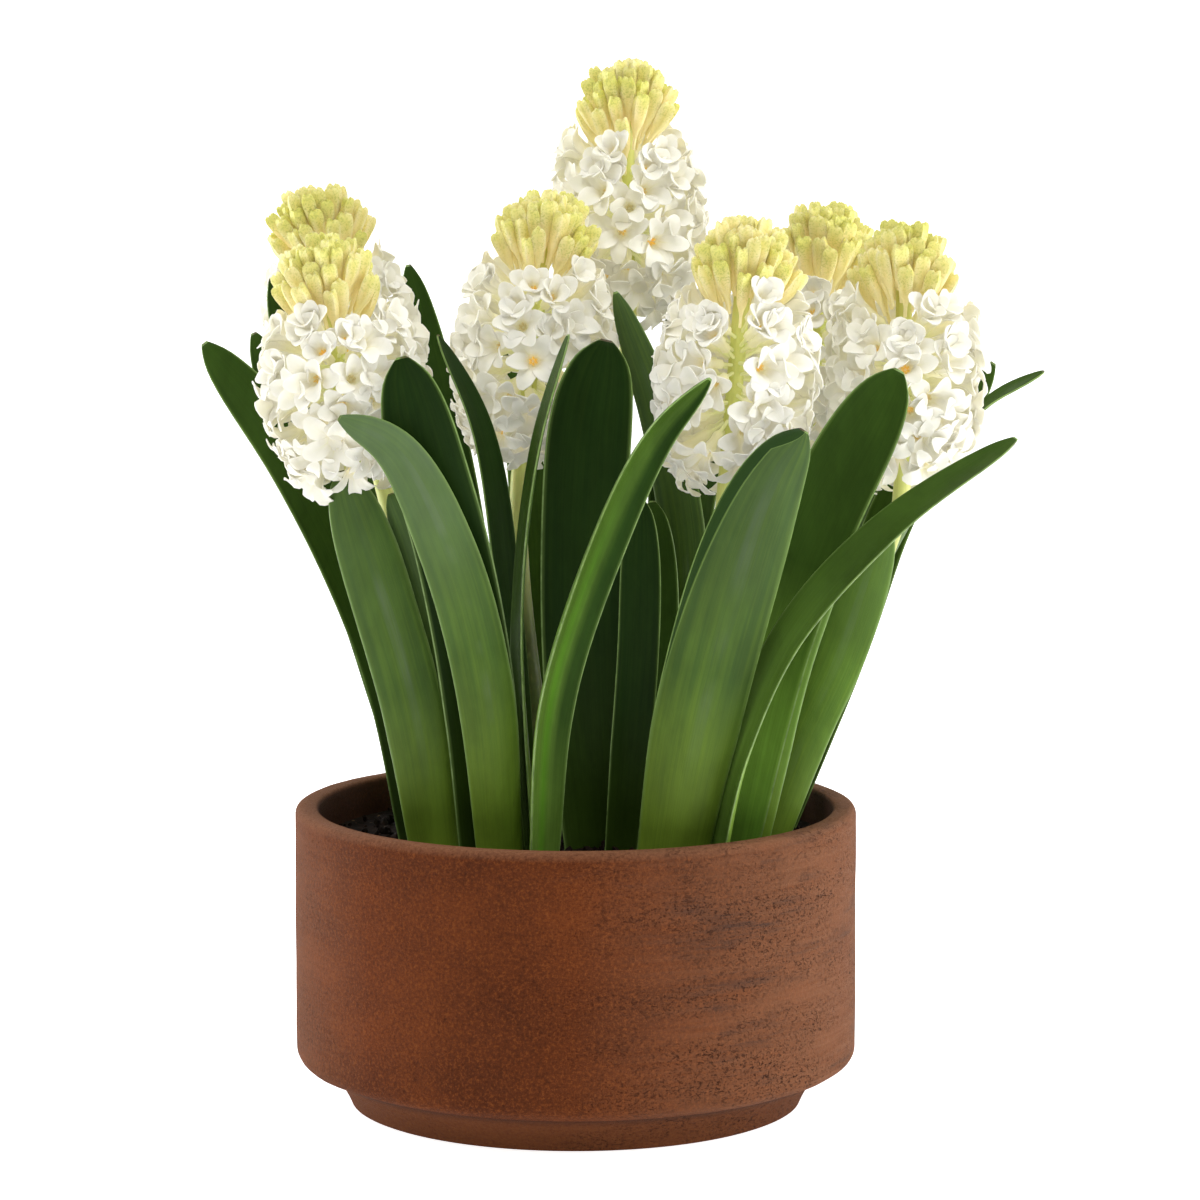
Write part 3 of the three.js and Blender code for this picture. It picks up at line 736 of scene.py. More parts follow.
def finished(made, **sockets):
    """A material with colours, roughness and normals wired to its surface."""
    surface = made.node_tree.nodes["Principled BSDF"]
    for key, value in sockets.items():
        made.node_tree.links.new(value, surface.inputs[key.replace("_", " ")])
    return made


def clay_material(pot):
    """Brown fired clay: mottled and grainy, brushed round the wall, smoked and pitted on the right, dusty and
    painted with sheen at its edges, and painted lighter at its foot.
    """
    made, nodes = material("fired_clay", Specular_IOR_Level=0.08)
    place = nodes.place()
    right, _, height = nodes.apart(place)
    brushed = nodes.noise(place, (26, 26, 700), 5.0, 0.75)
    grain = nodes.noise(place, 1300.0, 3.0, 0.75)
    speckle = nodes.noise(place, 850.0, 4.0, 0.85)
    cloudy = nodes.times(nodes.patches(place, 19.0, 0.16), 0.6)
    warm = nodes.times(nodes.patches(nodes.stretched(place, (1, 1, 1.6)), 46.0, 0.16), 0.36)
    # Paler, greyer clay toward the right edge and in a band along the left edge: partly dust and wear, partly
    # painted sheen where the edges catch the side lights
    left_wear_and_sheen = nodes.ranged(right, -0.1, -0.07, 0.55, 0.0)
    dust_and_sheen = nodes.times(
        nodes.larger(nodes.ranged(right, 0.0, 0.085), left_wear_and_sheen), nodes.ranged(brushed, 0.3, 0.65, 0.4, 0.75))

    # Smudges on the right of the wall and under the lip
    drift = nodes.noise(place, (17, 17, 90), 6.0, 0.7)
    smudge = nodes.times(nodes.ranged(drift, 0.52, 0.68), nodes.ranged(brushed, 0.4, 0.56, 0.1, 1.0))
    under_lip = nodes.times(
        nodes.ranged(height, 0.09, 0.097), nodes.falling(height, 0.101, 0.105),
        nodes.ranged(right, -0.02, 0.01))
    smoked = nodes.times(smudge, nodes.larger(nodes.ranged(right, 0.015, 0.05), under_lip), 0.85)

    # The foot is painted a brighter orange: partly the clay's own tone, partly painted light where the
    # shoulder shades it
    foot = nodes.blend(nodes.ranged(speckle, 0.35, 0.65), shade("a85a28"), shade("d07a38"))
    lip = nodes.times(
        nodes.ranged(height, pot.height - 3 * MM, pot.height), nodes.ranged(speckle, 0.35, 0.6, 0.3, 0.8))
    inner_wall = pot.radius - LIP_WIDTH * MM
    inside = nodes.times(nodes.ranged(nodes.away(place), inner_wall + MM, inner_wall), 0.75)

    # Pits, dense in bands on the right and few on the left
    bands = nodes.noise(place, (24, 24, 75), 3.0, 0.6)
    dense = nodes.larger(
        nodes.times(nodes.ranged(bands, 0.38, 0.66), nodes.ranged(right, -0.02, 0.05, 0.12, 1.0)),
        nodes.times(left_wear_and_sheen, nodes.ranged(bands, 0.42, 0.6)))
    fine = nodes.noise(place, (1200, 1200, 1800), 2.0, 0.5)
    coarse = nodes.noise(place, (580, 580, 900), 3.0, 0.6)
    pits = nodes.larger(nodes.ranged(fine, 0.6, 0.67, 0.0, 0.7), nodes.ranged(coarse, 0.6, 0.63))
    pits = nodes.times(pits, dense)

    colour = nodes.coats(
        pot.clay,
        (cloudy, pot.bright),
        (warm, shade("4b2716")),
        (nodes.ranged(speckle, 0.5, 0.7, 0.0, 0.8), shade("8e4c22")),
        (nodes.ranged(speckle, 0.28, 0.46, 0.9, 0.0), shade("341a0c")),
        (dust_and_sheen, pot.worn),
        (smoked, pot.smoked),
        (nodes.ranged(height, 10 * MM, 14 * MM, 0.85, 0.0), foot),
        (lip, pot.worn),
        (inside, shade("33201a")),
        (nodes.times(pits, 0.85), shade("30180c")),
    )
    normal = nodes.bump(speckle, 0.85, 0.7 * MM)
    normal = nodes.bump(grain, 0.3, 0.2 * MM, normal)
    normal = nodes.bump(brushed, 0.35, 0.5 * MM, normal)
    worked = nodes.times(nodes.noise(place, 420.0, 4.0, 0.75), nodes.ranged(right, -0.01, 0.06, 0.15, 1.0))
    normal = nodes.bump(worked, 0.6, 1.0 * MM, normal)
    normal = nodes.bump(nodes.times(pits, -1.0), 1.0, 1.4 * MM, normal)
    rough = nodes.ranged(grain, 0.3, 0.7, 0.66, 0.9)
    return finished(made, Base_Color=colour, Roughness=rough, Normal=normal)


def soil_material(soil):
    """Damp dark crumbs with drier ones between them, and specks of straw."""
    made, nodes = material("potting_soil", Specular_IOR_Level=0.1)
    place = nodes.place()
    crumbs = nodes.noise(place, 420.0, 5.0, 0.7)
    damp = nodes.patches(place, 60.0, 0.12)
    distance = nodes.add("ShaderNodeTexVoronoi", {"Vector": place, "Scale": 300.0}).outputs["Distance"]
    reach = nodes.larger(nodes.ranged(nodes.noise(place, 63.0, 2.0), 0.42, 0.72, 0.0, 0.4), MM)
    straw = nodes.falling(nodes.maths("DIVIDE", distance, reach), 0.6, 1.0)
    colour = nodes.coats(
        soil.damp,
        (nodes.ranged(crumbs, 0.45, 0.75), soil.dry),
        (nodes.times(damp, 0.6), soil.damp),
        (nodes.times(straw, 0.5), shade("8a6a48")),
    )
    rough = nodes.ranged(damp, 0.0, 1.0, 0.95, 0.7)
    return finished(made, Base_Color=colour, Roughness=rough, Normal=nodes.bump(crumbs, 0.8, 1.2 * MM))


def bulb_material(bulb):
    """Papery skin with fine upright ribs, torn in patches."""
    made, nodes = material("bulb_tunic", Specular_IOR_Level=0.4)
    place = nodes.place()
    ribs = nodes.noise(place, (700, 700, 40), 4.0, 0.6)
    torn = nodes.patches(place, 90.0, 0.08)
    colour = nodes.coats(
        bulb.tunic, (nodes.ranged(ribs, 0.4, 0.65), bulb.scale), (nodes.times(torn, 0.6), shade("7a5138")))
    rough = nodes.ranged(ribs, 0.3, 0.7, 0.45, 0.75)
    return finished(made, Base_Color=colour, Roughness=rough, Normal=nodes.bump(ribs, 0.5, 0.6 * MM))


def stem_material(stem):
    """A smooth stem, mottled near the soil and paler as it rises."""
    made, nodes = material(
        "flower_stem", Specular_IOR_Level=0.5, Subsurface_Weight=0.1, Subsurface_Scale=2 * MM)
    place, rise = nodes.place(), nodes.read("rise")
    fibres = nodes.noise(place, (900, 900, 18), 4.0, 0.6)
    mottle = nodes.times(nodes.patches(place, 70.0, 0.15), nodes.ranged(rise, 0.4, 0.7, 0.4, 0.0))
    colour = nodes.coats(
        stem.low,
        (nodes.ranged(rise, 0.5, 0.8), stem.high),
        (nodes.ranged(fibres, 0.5, 0.75, 0.0, 0.3), shade("a3a552")),
        (mottle, shade("5a4a28")),
    )
    rough = nodes.ranged(fibres, 0.3, 0.7, 0.38, 0.55)
    return finished(made, Base_Color=colour, Roughness=rough, Normal=nodes.bump(fibres, 0.3, 0.4 * MM))


def leaf_material(name, foot, blade, bloom_share, shine, leaf):
    """One side of a leaf: fresh at the foot, with fine lengthwise veins, a painted sheen and highlight
    streak, and the painted light and shade of a fold.
    """
    made, nodes = material(name, Specular_IOR_Level=shine)
    place, flat = nodes.place(), nodes.map()
    across, along, _ = nodes.apart(flat)
    young, bloom, fold, hood = (nodes.read(mark) for mark in ("young", "bloom", "fold", "hood"))
    veins = nodes.streaks(flat, 84.0, 2.6)
    bands = nodes.streaks(flat, 9.0, 1.4)

    # The blade, the painted light and painted shade of its fold, and its veins
    fresh = nodes.times(young, nodes.ranged(along, 0.1, 0.5, 0.2, 0.8))
    # A paler yellow-green lower half on some leaves: partly the fresh foot's own colour, partly painted light
    # where the foot lies in shade
    pale = nodes.times(nodes.falling(along, 0.25, 0.6), nodes.read("pale_foot"))
    # Painted light: a bright band down the middle of the fold; painted shade: its far side darker
    lit_groove = nodes.times(
        nodes.falling(nodes.off(across, 0.52), 0.02, 0.16), nodes.falling(along, 0.3, 0.75), fold, 0.7)
    shaded = nodes.times(nodes.ranged(across, 0.62, 0.78), nodes.ranged(along, 0.06, 0.3), fold, 0.8)
    colour = nodes.coats(
        foot,
        (nodes.ranged(along, 0.0, 0.45), blade),
        (fresh, leaf.young),
        (pale, shade("86b048")),
        (lit_groove, shade("5f9a22")),
        (shaded, shade("1c3a0c")),
        (nodes.ranged(bands, 0.42, 0.7, 0.0, 0.24), foot),
    )
    dim = nodes.noise(place, (45, 45, 16), 5.0, 0.65)
    colour = nodes.greys(colour, dim, 0.36, 0.6, (0.74, 0.74, 0.72), (1.04, 1.04, 1.04))
    colour = nodes.greys(colour, veins, 0.35, 0.65, (0.87, 0.87, 0.87), (1.05, 1.05, 1.05))

    # Painted sheen over the upper half, a painted reflection, and a broken painted highlight streak up the
    # middle
    mottle = nodes.ranged(nodes.patches(place, 34.0, 0.22), 0.0, 1.0, 0.45, 0.9)
    sheen = nodes.times(nodes.ranged(along, 0.45, 0.85), mottle, bloom, bloom_share)
    wavy = nodes.maths("ADD", nodes.off(across, 0.46), nodes.ranged(bands, 0.3, 0.7, -0.12, 0.12))
    streak = nodes.times(
        nodes.falling(wavy, 0.0, 0.13), nodes.ranged(along, 0.2, 0.5), nodes.falling(along, 0.7, 0.98),
        nodes.patches(place, 22.0, 0.1), bloom, bloom_share)

    # The hood: what lies past its rim is the far side of the turned-over margin
    rim = nodes.maths(
        "ADD", nodes.ranged(along, 0.4, 0.9, 1.0, 0.8), nodes.ranged(along, 0.93, 1.0, 0.0, -0.4))
    past = nodes.maths("SUBTRACT", across, rim)
    behind = nodes.times(nodes.ranged(past, 0.0, 0.015), hood)
    border = nodes.times(
        nodes.ranged(nodes.maths("ABSOLUTE", past), 0.004, 0.016, 0.5, 0.0),
        nodes.ranged(along, 0.4, 0.5), hood)
    colour = nodes.coats(
        colour,
        (sheen, leaf.bloom),
        (streak, shade("8b9882")),
        (nodes.ranged(nodes.off(across, 0.5), 0.44, 0.5, 0.0, 0.5), leaf.edge),
        (nodes.times(behind, 0.85), shade("1d3810")),
        (border, leaf.edge),
    )
    normal = nodes.bump(veins, 0.2, 0.3 * MM)
    normal = nodes.bump(bands, 0.16, 0.8 * MM, normal)
    normal = nodes.bump(nodes.noise(place, 160.0, 3.0, 0.6), 0.12, 0.5 * MM, normal)
    normal = nodes.bump(nodes.times(behind, -1.0), 0.5, 1.0 * MM, normal)
    rough = nodes.ranged(veins, 0.3, 0.7, 0.4, 0.54)
    return finished(made, Base_Color=colour, Roughness=rough, Normal=normal)


def edge_material(leaf):
    """The light rim of a leaf, browned at its tip."""
    made, nodes = material("leaf_edge", Specular_IOR_Level=0.45)
    worn = nodes.noise(nodes.place(), 260.0, 3.0)
    along = nodes.apart(nodes.map())["Y"]
    browned = nodes.times(nodes.ranged(along, 0.97, 1.0), nodes.ranged(worn, 0.45, 0.6))
    colour = nodes.coats(
        leaf.edge, (nodes.ranged(worn, 0.4, 0.7, 0.0, 0.6), leaf.outer), (browned, shade("4d3a22")))
    rough = nodes.ranged(worn, 0.3, 0.7, 0.35, 0.5)
    return finished(made, Base_Color=colour, Roughness=rough, Normal=nodes.bump(worn, 0.2, 0.3 * MM))


def petal_material(floret):
    """White petals with a pale rib and painted shade down their middles, on a green-yellow tube. A faint glow
    stands for light from behind.
    """
    made, nodes = material(
        "white_petal", Specular_IOR_Level=0.3, Subsurface_Weight=0.4, Subsurface_Scale=1.5 * MM,
        Subsurface_Radius=(1.0, 0.95, 0.8), Emission_Strength=0.14)
    flat, rise = nodes.map(), nodes.read("rise")
    veins = nodes.streaks(flat, 22.0, 1.3)
    middle = nodes.off(nodes.apart(flat)["X"], 0.5)
    rib = nodes.times(nodes.falling(middle, 0.0, 0.09), nodes.ranged(rise, 0.45, 0.9, 0.5, 0.0))
    # Painted shade: each petal greyer down its middle, where the thin petal lets light through
    shaded_middle = nodes.times(nodes.ranged(middle, 0.1, 0.42, 0.5, 0.0), nodes.ranged(rise, 0.5, 0.7))
    colour = nodes.coats(
        floret.stalk,
        (nodes.ranged(rise, 0.1, 0.22), floret.throat),
        (nodes.ranged(rise, 0.3, 0.56), floret.white),
        (nodes.times(nodes.patches(nodes.place(), 80.0, 0.2), 0.2), shade("f0ebd2")),
        (rib, shade("e3e2b4")),
        (shaded_middle, shade("e7e5d3")),
        (nodes.ranged(veins, 0.52, 0.75, 0.0, 0.2), shade("e8e8df")),
    )
    glow = nodes.blend(nodes.ranged(rise, 0.3, 0.85), (1.0, 0.95, 0.7), (0.31, 0.3, 0.26))
    return finished(
        made, Base_Color=colour, Roughness=nodes.ranged(veins, 0.3, 0.7, 0.4, 0.58), Emission_Color=glow,
        Normal=nodes.bump(veins, 0.35, 0.3 * MM))


def pollen_material(floret):
    """Dusty anthers: orange in some florets and pale in the rest, with a painted glow, orange in the ripe
    ones.
    """
    made, nodes = material("pollen", Specular_IOR_Level=0.2, Emission_Strength=0.22)
    place = nodes.place()
    dust = nodes.noise(place, 1500.0, 2.0)
    ripe_and_glowing = nodes.patches(place, 60.0, 0.05)
    colour = nodes.coats(
        floret.pollen,
        (nodes.ranged(dust, 0.4, 0.7), shade("f7d77a")),
        (nodes.ranged(ripe_and_glowing, 0.0, 1.0, 0.85, 0.0), shade("f3ecc4")),
    )
    # Painted glow: the anthers give off light, orange where ripe
    glow = nodes.blend(ripe_and_glowing, (0.2, 0.18, 0.1), (1.0, 0.62, 0.14))
    return finished(
        made, Base_Color=colour, Roughness=nodes.ranged(dust, 0.3, 0.7, 0.7, 0.95), Emission_Color=glow,
        Normal=nodes.bump(dust, 0.5, 0.2 * MM))


def bud_material(bud):
    """Closed buds: a warm foot, painted highlights on the ridges, painted shade in the yellow valleys, a
    speckled green tip and a painted glow.
    """
    made, nodes = material(
        "closed_bud", Specular_IOR_Level=0.35, Subsurface_Weight=0.3, Subsurface_Scale=2.5 * MM,
        Subsurface_Radius=(1.0, 0.9, 0.5), Emission_Strength=0.19)
    place, rise, ridge = nodes.place(), nodes.read("rise"), nodes.read("ridge")
    fresh = nodes.patches(place, 55.0, 0.1)
    specks = nodes.noise(place, 1400.0, 2.0, 0.6)
    grain = nodes.noise(place, 700.0, 3.0)
    # Painted highlight along the ridges, and painted shade in the yellow valleys between them
    light = nodes.times(nodes.ranged(ridge, 0.45, 0.9), nodes.ranged(rise, 0.35, 0.7, 0.0, 0.7))
    valley_shade = nodes.times(nodes.ranged(ridge, 0.0, 0.4, 0.6, 0.0), nodes.ranged(rise, 0.35, 0.6))
    green = nodes.times(nodes.ranged(rise, 0.62, 0.95), nodes.ranged(fresh, 0.0, 1.0, 0.3, 1.0))
    spotted = nodes.times(
        nodes.ranged(specks, 0.5, 0.6), nodes.ranged(rise, 0.45, 0.8, 0.1, 0.7),
        nodes.ranged(fresh, 0.0, 1.0, 0.4, 1.0))
    colour = nodes.coats(
        bud.warm,
        (nodes.ranged(rise, 0.2, 0.62), bud.body),
        (light, shade("f6ebc6")),
        (valley_shade, shade("dcc96a")),
        (nodes.times(nodes.patches(place, 75.0, 0.1), 0.4), shade("f1dba6")),
        (green, bud.tip),
        (spotted, shade("b1b54a")),
    )
    # Painted glow: the buds give off a little light, warmer and stronger low down
    glow = nodes.blend(nodes.ranged(rise, 0.3, 0.8), (0.6, 0.52, 0.24), (0.16, 0.14, 0.07))
    return finished(
        made, Base_Color=colour, Roughness=nodes.ranged(grain, 0.3, 0.7, 0.42, 0.6), Emission_Color=glow,
        Normal=nodes.bump(grain, 0.2, 0.3 * MM))


def floor_material(stage):
    """Pale studio paper, lit a little less for the plant than for the camera."""
    made, nodes = material("studio_paper", Specular_IOR_Level=0.2, Emission_Color=(1, 1, 1, 1))
    tooth = nodes.noise(nodes.place(), 300.0, 2.0)
    colour = nodes.blend(nodes.ranged(tooth, 0.3, 0.7, 0.0, 0.03), stage.floor, (0.8, 0.8, 0.8))
    glow = nodes.ranged(nodes.camera_ray(), 0.0, 1.0, PAPER_GLOW, stage.glow)
    return finished(
        made, Base_Color=colour, Roughness=nodes.ranged(tooth, 0.3, 0.7, 0.85, 0.95), Emission_Strength=glow)


# Pot, soil and bulbs

def pot_outline(radius, height):
    """The pot's section in mm, up its outside, over the lip and down to its inner floor."""
    inner = radius - LIP_WIDTH
    lip = arc(radius - LIP_ROUND, height - LIP_ROUND, LIP_ROUND, 0, 90, 6)
    shoulder = arc(radius - SHOULDER_ROUND, SHOULDER_HEIGHT, SHOULDER_ROUND, -62, 0, 7)
    return [
        (FOOT_RADIUS - BEVEL, 0),
        (FOOT_RADIUS - 0.3 * BEVEL, 0.3 * BEVEL),
        (FOOT_RADIUS, BEVEL),
        *[(FOOT_RADIUS + out * FOOT_COVE, up * FOOT_HEIGHT) for out, up in FOOT_COVE_STEPS],
        *stepped((FOOT_RADIUS + FOOT_COVE, FOOT_HEIGHT), shoulder[0], WALL_STEP),
        *shoulder,
        *stepped(shoulder[-1], lip[0], WALL_STEP),
        *lip,
        (inner + BEVEL, height),
        (inner + 0.3 * BEVEL, height - 0.4 * BEVEL),
        (inner, height - BEVEL),
        *stepped((inner, height - BEVEL), (inner - 1, FLOOR_THICKNESS + INNER_CORNER), 5 * WALL_STEP),
        (inner - 1, FLOOR_THICKNESS + INNER_CORNER),
        (FLOOR_RADIUS + INNER_CORNER / 2, FLOOR_THICKNESS + BEVEL),
        (FLOOR_RADIUS, FLOOR_THICKNESS),
    ]


def rough_up(obj, name, wave, height, middle, picks, **settings):
    """Waves the picked vertices of an object with clouds, so long and so high."""
    texture = bpy.data.textures.new(name, "CLOUDS")
    texture.noise_scale = wave * MM
    group = weighted(obj, name, lambda vertex: float(picks(vertex.co)))
    modify(obj, "DISPLACE", texture=texture, vertex_group=group, texture_coords="LOCAL", strength=height,
           mid_level=middle, **settings)


def make_pot(pot):
    """The pot, turned from its section. Only its outside above the foot is uneven."""
    obj = turned("clay_pot", in_metres(pot_outline(pot.radius / MM, pot.height / MM)), pot.sides)
    inner = pot.radius - 0.6 * LIP_WIDTH * MM
    rough_up(obj, "clay_waves", WALL_WAVE, pot.relief, 0.5,
             lambda co: co.xy.length > inner and co.z > FOOT_HEIGHT * MM)
    obj.data.materials.append(clay_material(pot))
    seated(obj, "pot", 40)


def make_crumb(number, soil, earth):
    """A lump with twenty faces, flatter or longer by its number."""
    bpy.ops.mesh.primitive_ico_sphere_add(subdivisions=1, radius=soil.crumb_radius)
    crumb = added(f"crumb_{number}")
    share = number / CRUMB_MODELS
    bpy.ops.object.mode_set(mode="EDIT")
    bpy.ops.mesh.select_all(action="SELECT")
    bpy.ops.transform.resize(value=(1.0, between(*CRUMB_DEPTHS, share), between(*CRUMB_HEIGHTS, share)))
    bpy.ops.transform.vertex_random(offset=CRUMB_JAGS * soil.crumb_radius, seed=number + 1)
    bpy.ops.object.mode_set(mode="OBJECT")
    crumb.data.materials.append(earth)
    return crumb


def make_soil(soil, draw):
    """A lumpy bed that fills the pot, with loose crumbs all over it."""
    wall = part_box("soil")[1].x / MM
    level = SOIL_TOP - SOIL_BED_DROP
    rings = [
        (between(wall - 0.6, 2, (i / SOIL_RINGS) ** SOIL_RING_POWER), level) for i in range(SOIL_RINGS + 1)]
    bed = turned("soil_bed", in_metres([
        (FLOOR_RADIUS, FLOOR_THICKNESS + SOIL_GAP),
        (FLOOR_RADIUS + INNER_CORNER / 2 - SOIL_GAP, FLOOR_THICKNESS + BEVEL + SOIL_GAP),
        (wall - 3 * SOIL_GAP, FLOOR_THICKNESS + INNER_CORNER + SOIL_GAP),
        (wall - SOIL_GAP, level - 2),
        *rings,
    ]), SOIL_SIDES)
    rough_up(bed, "soil_lumps", SOIL_LUMP, SOIL_RELIEF * MM, 0.55,
             lambda co: co.z > (level - 1) * MM and co.xy.length < (wall - 2) * MM, direction="Z")
    earth = soil_material(soil)
    bed.data.materials.append(earth)
    models = [make_crumb(number, soil, earth) for number in range(CRUMB_MODELS)]
    places = [(bed, Matrix())]
    for _ in range(soil.crumbs):
        reach = (wall - CRUMB_FROM_WALL) * math.sqrt(draw.random())
        turn = draw.uniform(0, 2 * math.pi)
        spot = outward(turn, 0) * reach
        spot.z = level + draw.uniform(*CRUMB_LEVELS)
        tumble = Matrix.Rotation(draw.uniform(*ANY_TURN), 4, "X")
        tumble @= Matrix.Rotation(draw.uniform(*ANY_TURN), 4, "Z")
        size = Matrix.Scale(draw.choice(CRUMB_SIZES), 4)
        places.append((draw.choice(models), Matrix.Translation(spot * MM) @ tumble @ size))
    obj = planted("potting_soil", places)
    discard([bed, *models])
    seated(obj, "soil", 35)


def make_bulbs(bulb):
    """One ribbed bulb, set under each stem and turned a little further each time."""
    outline = [(BULB_RADIUS * wide, BULB_BOTTOM + up) for wide, up in BULB_OUTLINE]
    model = turned("bulb", in_metres(outline), BULB_SIDES)
    for vertex in model.data.vertices:
        vertex.co.xy *= 1 + BULB_RIB_DEPTH * math.sin(BULB_RIBS * math.atan2(vertex.co.y, vertex.co.x))
    modify(model, "SUBSURF", levels=1, render_levels=1)
    model.data.materials.append(bulb_material(bulb))
    for number, row in enumerate(PLANTS, 1):
        spot = Matrix.Translation(Vector((*row["bulb"], 0)) * MM) @ Matrix.Rotation(number, 4, "Z")
        obj = planted(f"hyacinth_bulb_{number}", [(model, spot)])
        seated(obj, f"bulb_{number}")
    discard([model])


# Stems

def make_stems(stem):
    """A curve from each bulb, straight up through the soil and on into its head, made a round solid."""
    green = stem_material(stem)
    for number, row in enumerate(PLANTS, 1):
        foot, top = (Vector(end) for end in row["head"])
        axis = (top - foot).normalized()
        low = Vector((*row["bulb"], BULB_BOTTOM + BULB_HEIGHT - STEM_IN_BULB))
        ground = Vector((*row["bulb"], STEM_STRAIGHT_TOP))
        entry = foot - STEM_BELOW_HEAD * axis
        reach = (entry - ground).length / 3
        bpy.ops.curve.primitive_bezier_curve_add()
        curve = bpy.context.view_layer.objects.active
        curve.matrix_world = Matrix()
        points = curve.data.splines[0].bezier_points
        points.add(2)
        stops = [
            (low, UP, STEM_SOIL_PULL, STEM_SOIL_PULL, 0),
            (ground, UP, STEM_SOIL_PULL, reach, 0),
            (entry, axis, reach, STEM_HEAD_PULL, 0.6),
            (foot + STEM_IN_HEAD * axis, axis, STEM_HEAD_PULL, STEM_HEAD_PULL, 1),
        ]
        for point, (spot, way, back, ahead, rise) in zip(points, stops):
            point.handle_left_type = point.handle_right_type = "FREE"
            point.co = spot * MM
            point.handle_left = (spot - way * back) * MM
            point.handle_right = (spot + way * ahead) * MM
            point.radius = between(stem.radius, stem.top_radius, rise)
        curve.data.bevel_depth = 1.0
        curve.data.bevel_resolution = 4
        curve.data.resolution_u = 16
        curve.data.use_fill_caps = True
        only(curve)
        bpy.ops.object.convert(target="MESH")
        obj = added(f"flower_stem_{number}")
        bpy.ops.object.mode_set(mode="EDIT")
        bpy.ops.mesh.select_all(action="SELECT")
        bpy.ops.mesh.remove_doubles(threshold=0.01 * MM)
        bpy.ops.mesh.normals_make_consistent(inside=False)
        bpy.ops.object.mode_set(mode="OBJECT")
        bottom, pale = low.z * MM, (entry.z + STEM_PALE_ABOVE) * MM
        graded(obj, "rise", lambda co: min(1.0, (co.z - bottom) / (pale - bottom)))
        obj.data.materials.append(green)
        seated(obj, f"stem_{number}")


# Leaves

class LeafPath:
    """A centripetal Catmull-Rom curve through a leaf's stops, read by shares of its length."""

    def __init__(self, stops):
        self.stops = stops
        self.lengths = [0.0]
        last = self.point(0.0)
        for i in range(1, LEAF_PATH_STEPS + 1):
            here = self.point(i / LEAF_PATH_STEPS)
            self.lengths.append(self.lengths[-1] + (here - last).length)
            last = here

    def point(self, t):
        spans = len(self.stops) - 1
        span = min(spans - 1, int(t * spans))
        part = t * spans - span
        first, second = self.stops[span:span + 2]
        before = self.stops[span - 1] if span else 2 * self.stops[0] - self.stops[1]
        after = self.stops[span + 2] if span + 2 <= spans else 2 * self.stops[-1] - self.stops[-2]
        gaps = [math.sqrt((b - a).length) for a, b in ((before, first), (first, second), (second, after))]
        leaving = ((first - before) / gaps[0] - (second - before) / (gaps[0] + gaps[1])
                   + (second - first) / gaps[1]) * gaps[1]
        arriving = ((second - first) / gaps[1] - (after - first) / (gaps[1] + gaps[2])
                    + (after - second) / gaps[2]) * gaps[1]
        square, cube = part * part, part ** 3
        return (first * (2 * cube - 3 * square + 1) + leaving * (cube - 2 * square + part)
                + second * (3 * square - 2 * cube) + arriving * (cube - square))

    def at(self, share):
        """The point and the direction at a share of the length."""
        goal = share * self.lengths[-1]
        step = next((i for i, length in enumerate(self.lengths) if length > goal), LEAF_PATH_STEPS) - 1
        part = (goal - self.lengths[step]) / (self.lengths[step + 1] - self.lengths[step])
        t = (step + part) / LEAF_PATH_STEPS
        near, far = max(0.0, t - 0.0001), min(1.0, t + 0.0001)
        return self.point(t), (self.point(far) - self.point(near)).normalized()


def leaf_width(share, tip):
    """The share of a leaf's full width at a share of its length."""
    start = between(*LEAF_TAPER_FROM, tip)
    taper = max(0.0, (share - start) / (1 - start))
    spread = between(LEAF_FOOT_SHARE, 1, min(1.0, share / LEAF_FULL_AT))
    return spread * math.sqrt(1 - between(*LEAF_TIP_LOSS, tip) * taper ** between(*LEAF_TAPER_POWER, tip))


def make_leaf(name, row, materials, draw):
    """A gridded strap, bent along the leaf's path and curled about it, then given its thickness."""
    bpy.ops.mesh.primitive_grid_add(x_subdivisions=LEAF_COLUMNS, y_subdivisions=LEAF_ROWS, size=1)
    obj = added(name)
    foot = Vector((*row["path"][0], SOIL_TOP))
    path = LeafPath([foot, *(Vector(stop) for stop in row["path"][1:])])
    start = path.at(0)[1]
    ripple, phase = draw.uniform(*LEAF_RIPPLE), draw.uniform(*ANY_TURN)
    weights = {}
    for vertex in obj.data.vertices:
        u = 2 * vertex.co.x
        rank = (vertex.co.y + 0.5) * LEAF_ROWS
        share = max(0.0, (rank - 1) / (LEAF_ROWS - 1))
        centre, way = path.at(share)
        if rank < 0.5:
            centre = foot - start * LEAF_ROOT
        angle = math.radians(between(*row["face"], share))
        face = Vector((math.cos(angle), math.sin(angle), 0))
        face = (face - way * face.dot(way)).normalized()
        across = way.cross(face)
        wrap = between(LEAF_WRAP[0], row.get("wrap", LEAF_WRAP[1]), min(1.0, 2 * share))
        width = row["width"] * leaf_width(share, row["tip"])
        curl = width / wrap
        swing = u * wrap / 2
        lift = curl * (1 - math.cos(swing))
        lift += ripple * u ** 3 * math.sin(LEAF_RIPPLE_TURNS * share + phase)
        spot = centre + across * (curl * math.sin(swing)) + face * lift
        weights[vertex.index] = between(between(LEAF_THICKNESS, LEAF_TIP_THICKNESS, share), LEAF_EDGE, u * u)
        vertex.co = spot * MM
    obj.data.update()
    group = weighted(obj, "thickness", lambda v: weights[v.index] / LEAF_THICKNESS)
    for part in materials:
        obj.data.materials.append(part)
    modify(obj, "SOLIDIFY", thickness=LEAF_THICKNESS * MM, offset=0.0, vertex_group=group,
           material_offset=1, material_offset_rim=2)
    modify(obj, "SUBSURF", levels=1, render_levels=1)
    for mark, usual in LEAF_MARKS.items():
        graded(obj, mark, lambda co: row.get(mark, usual))
    return obj


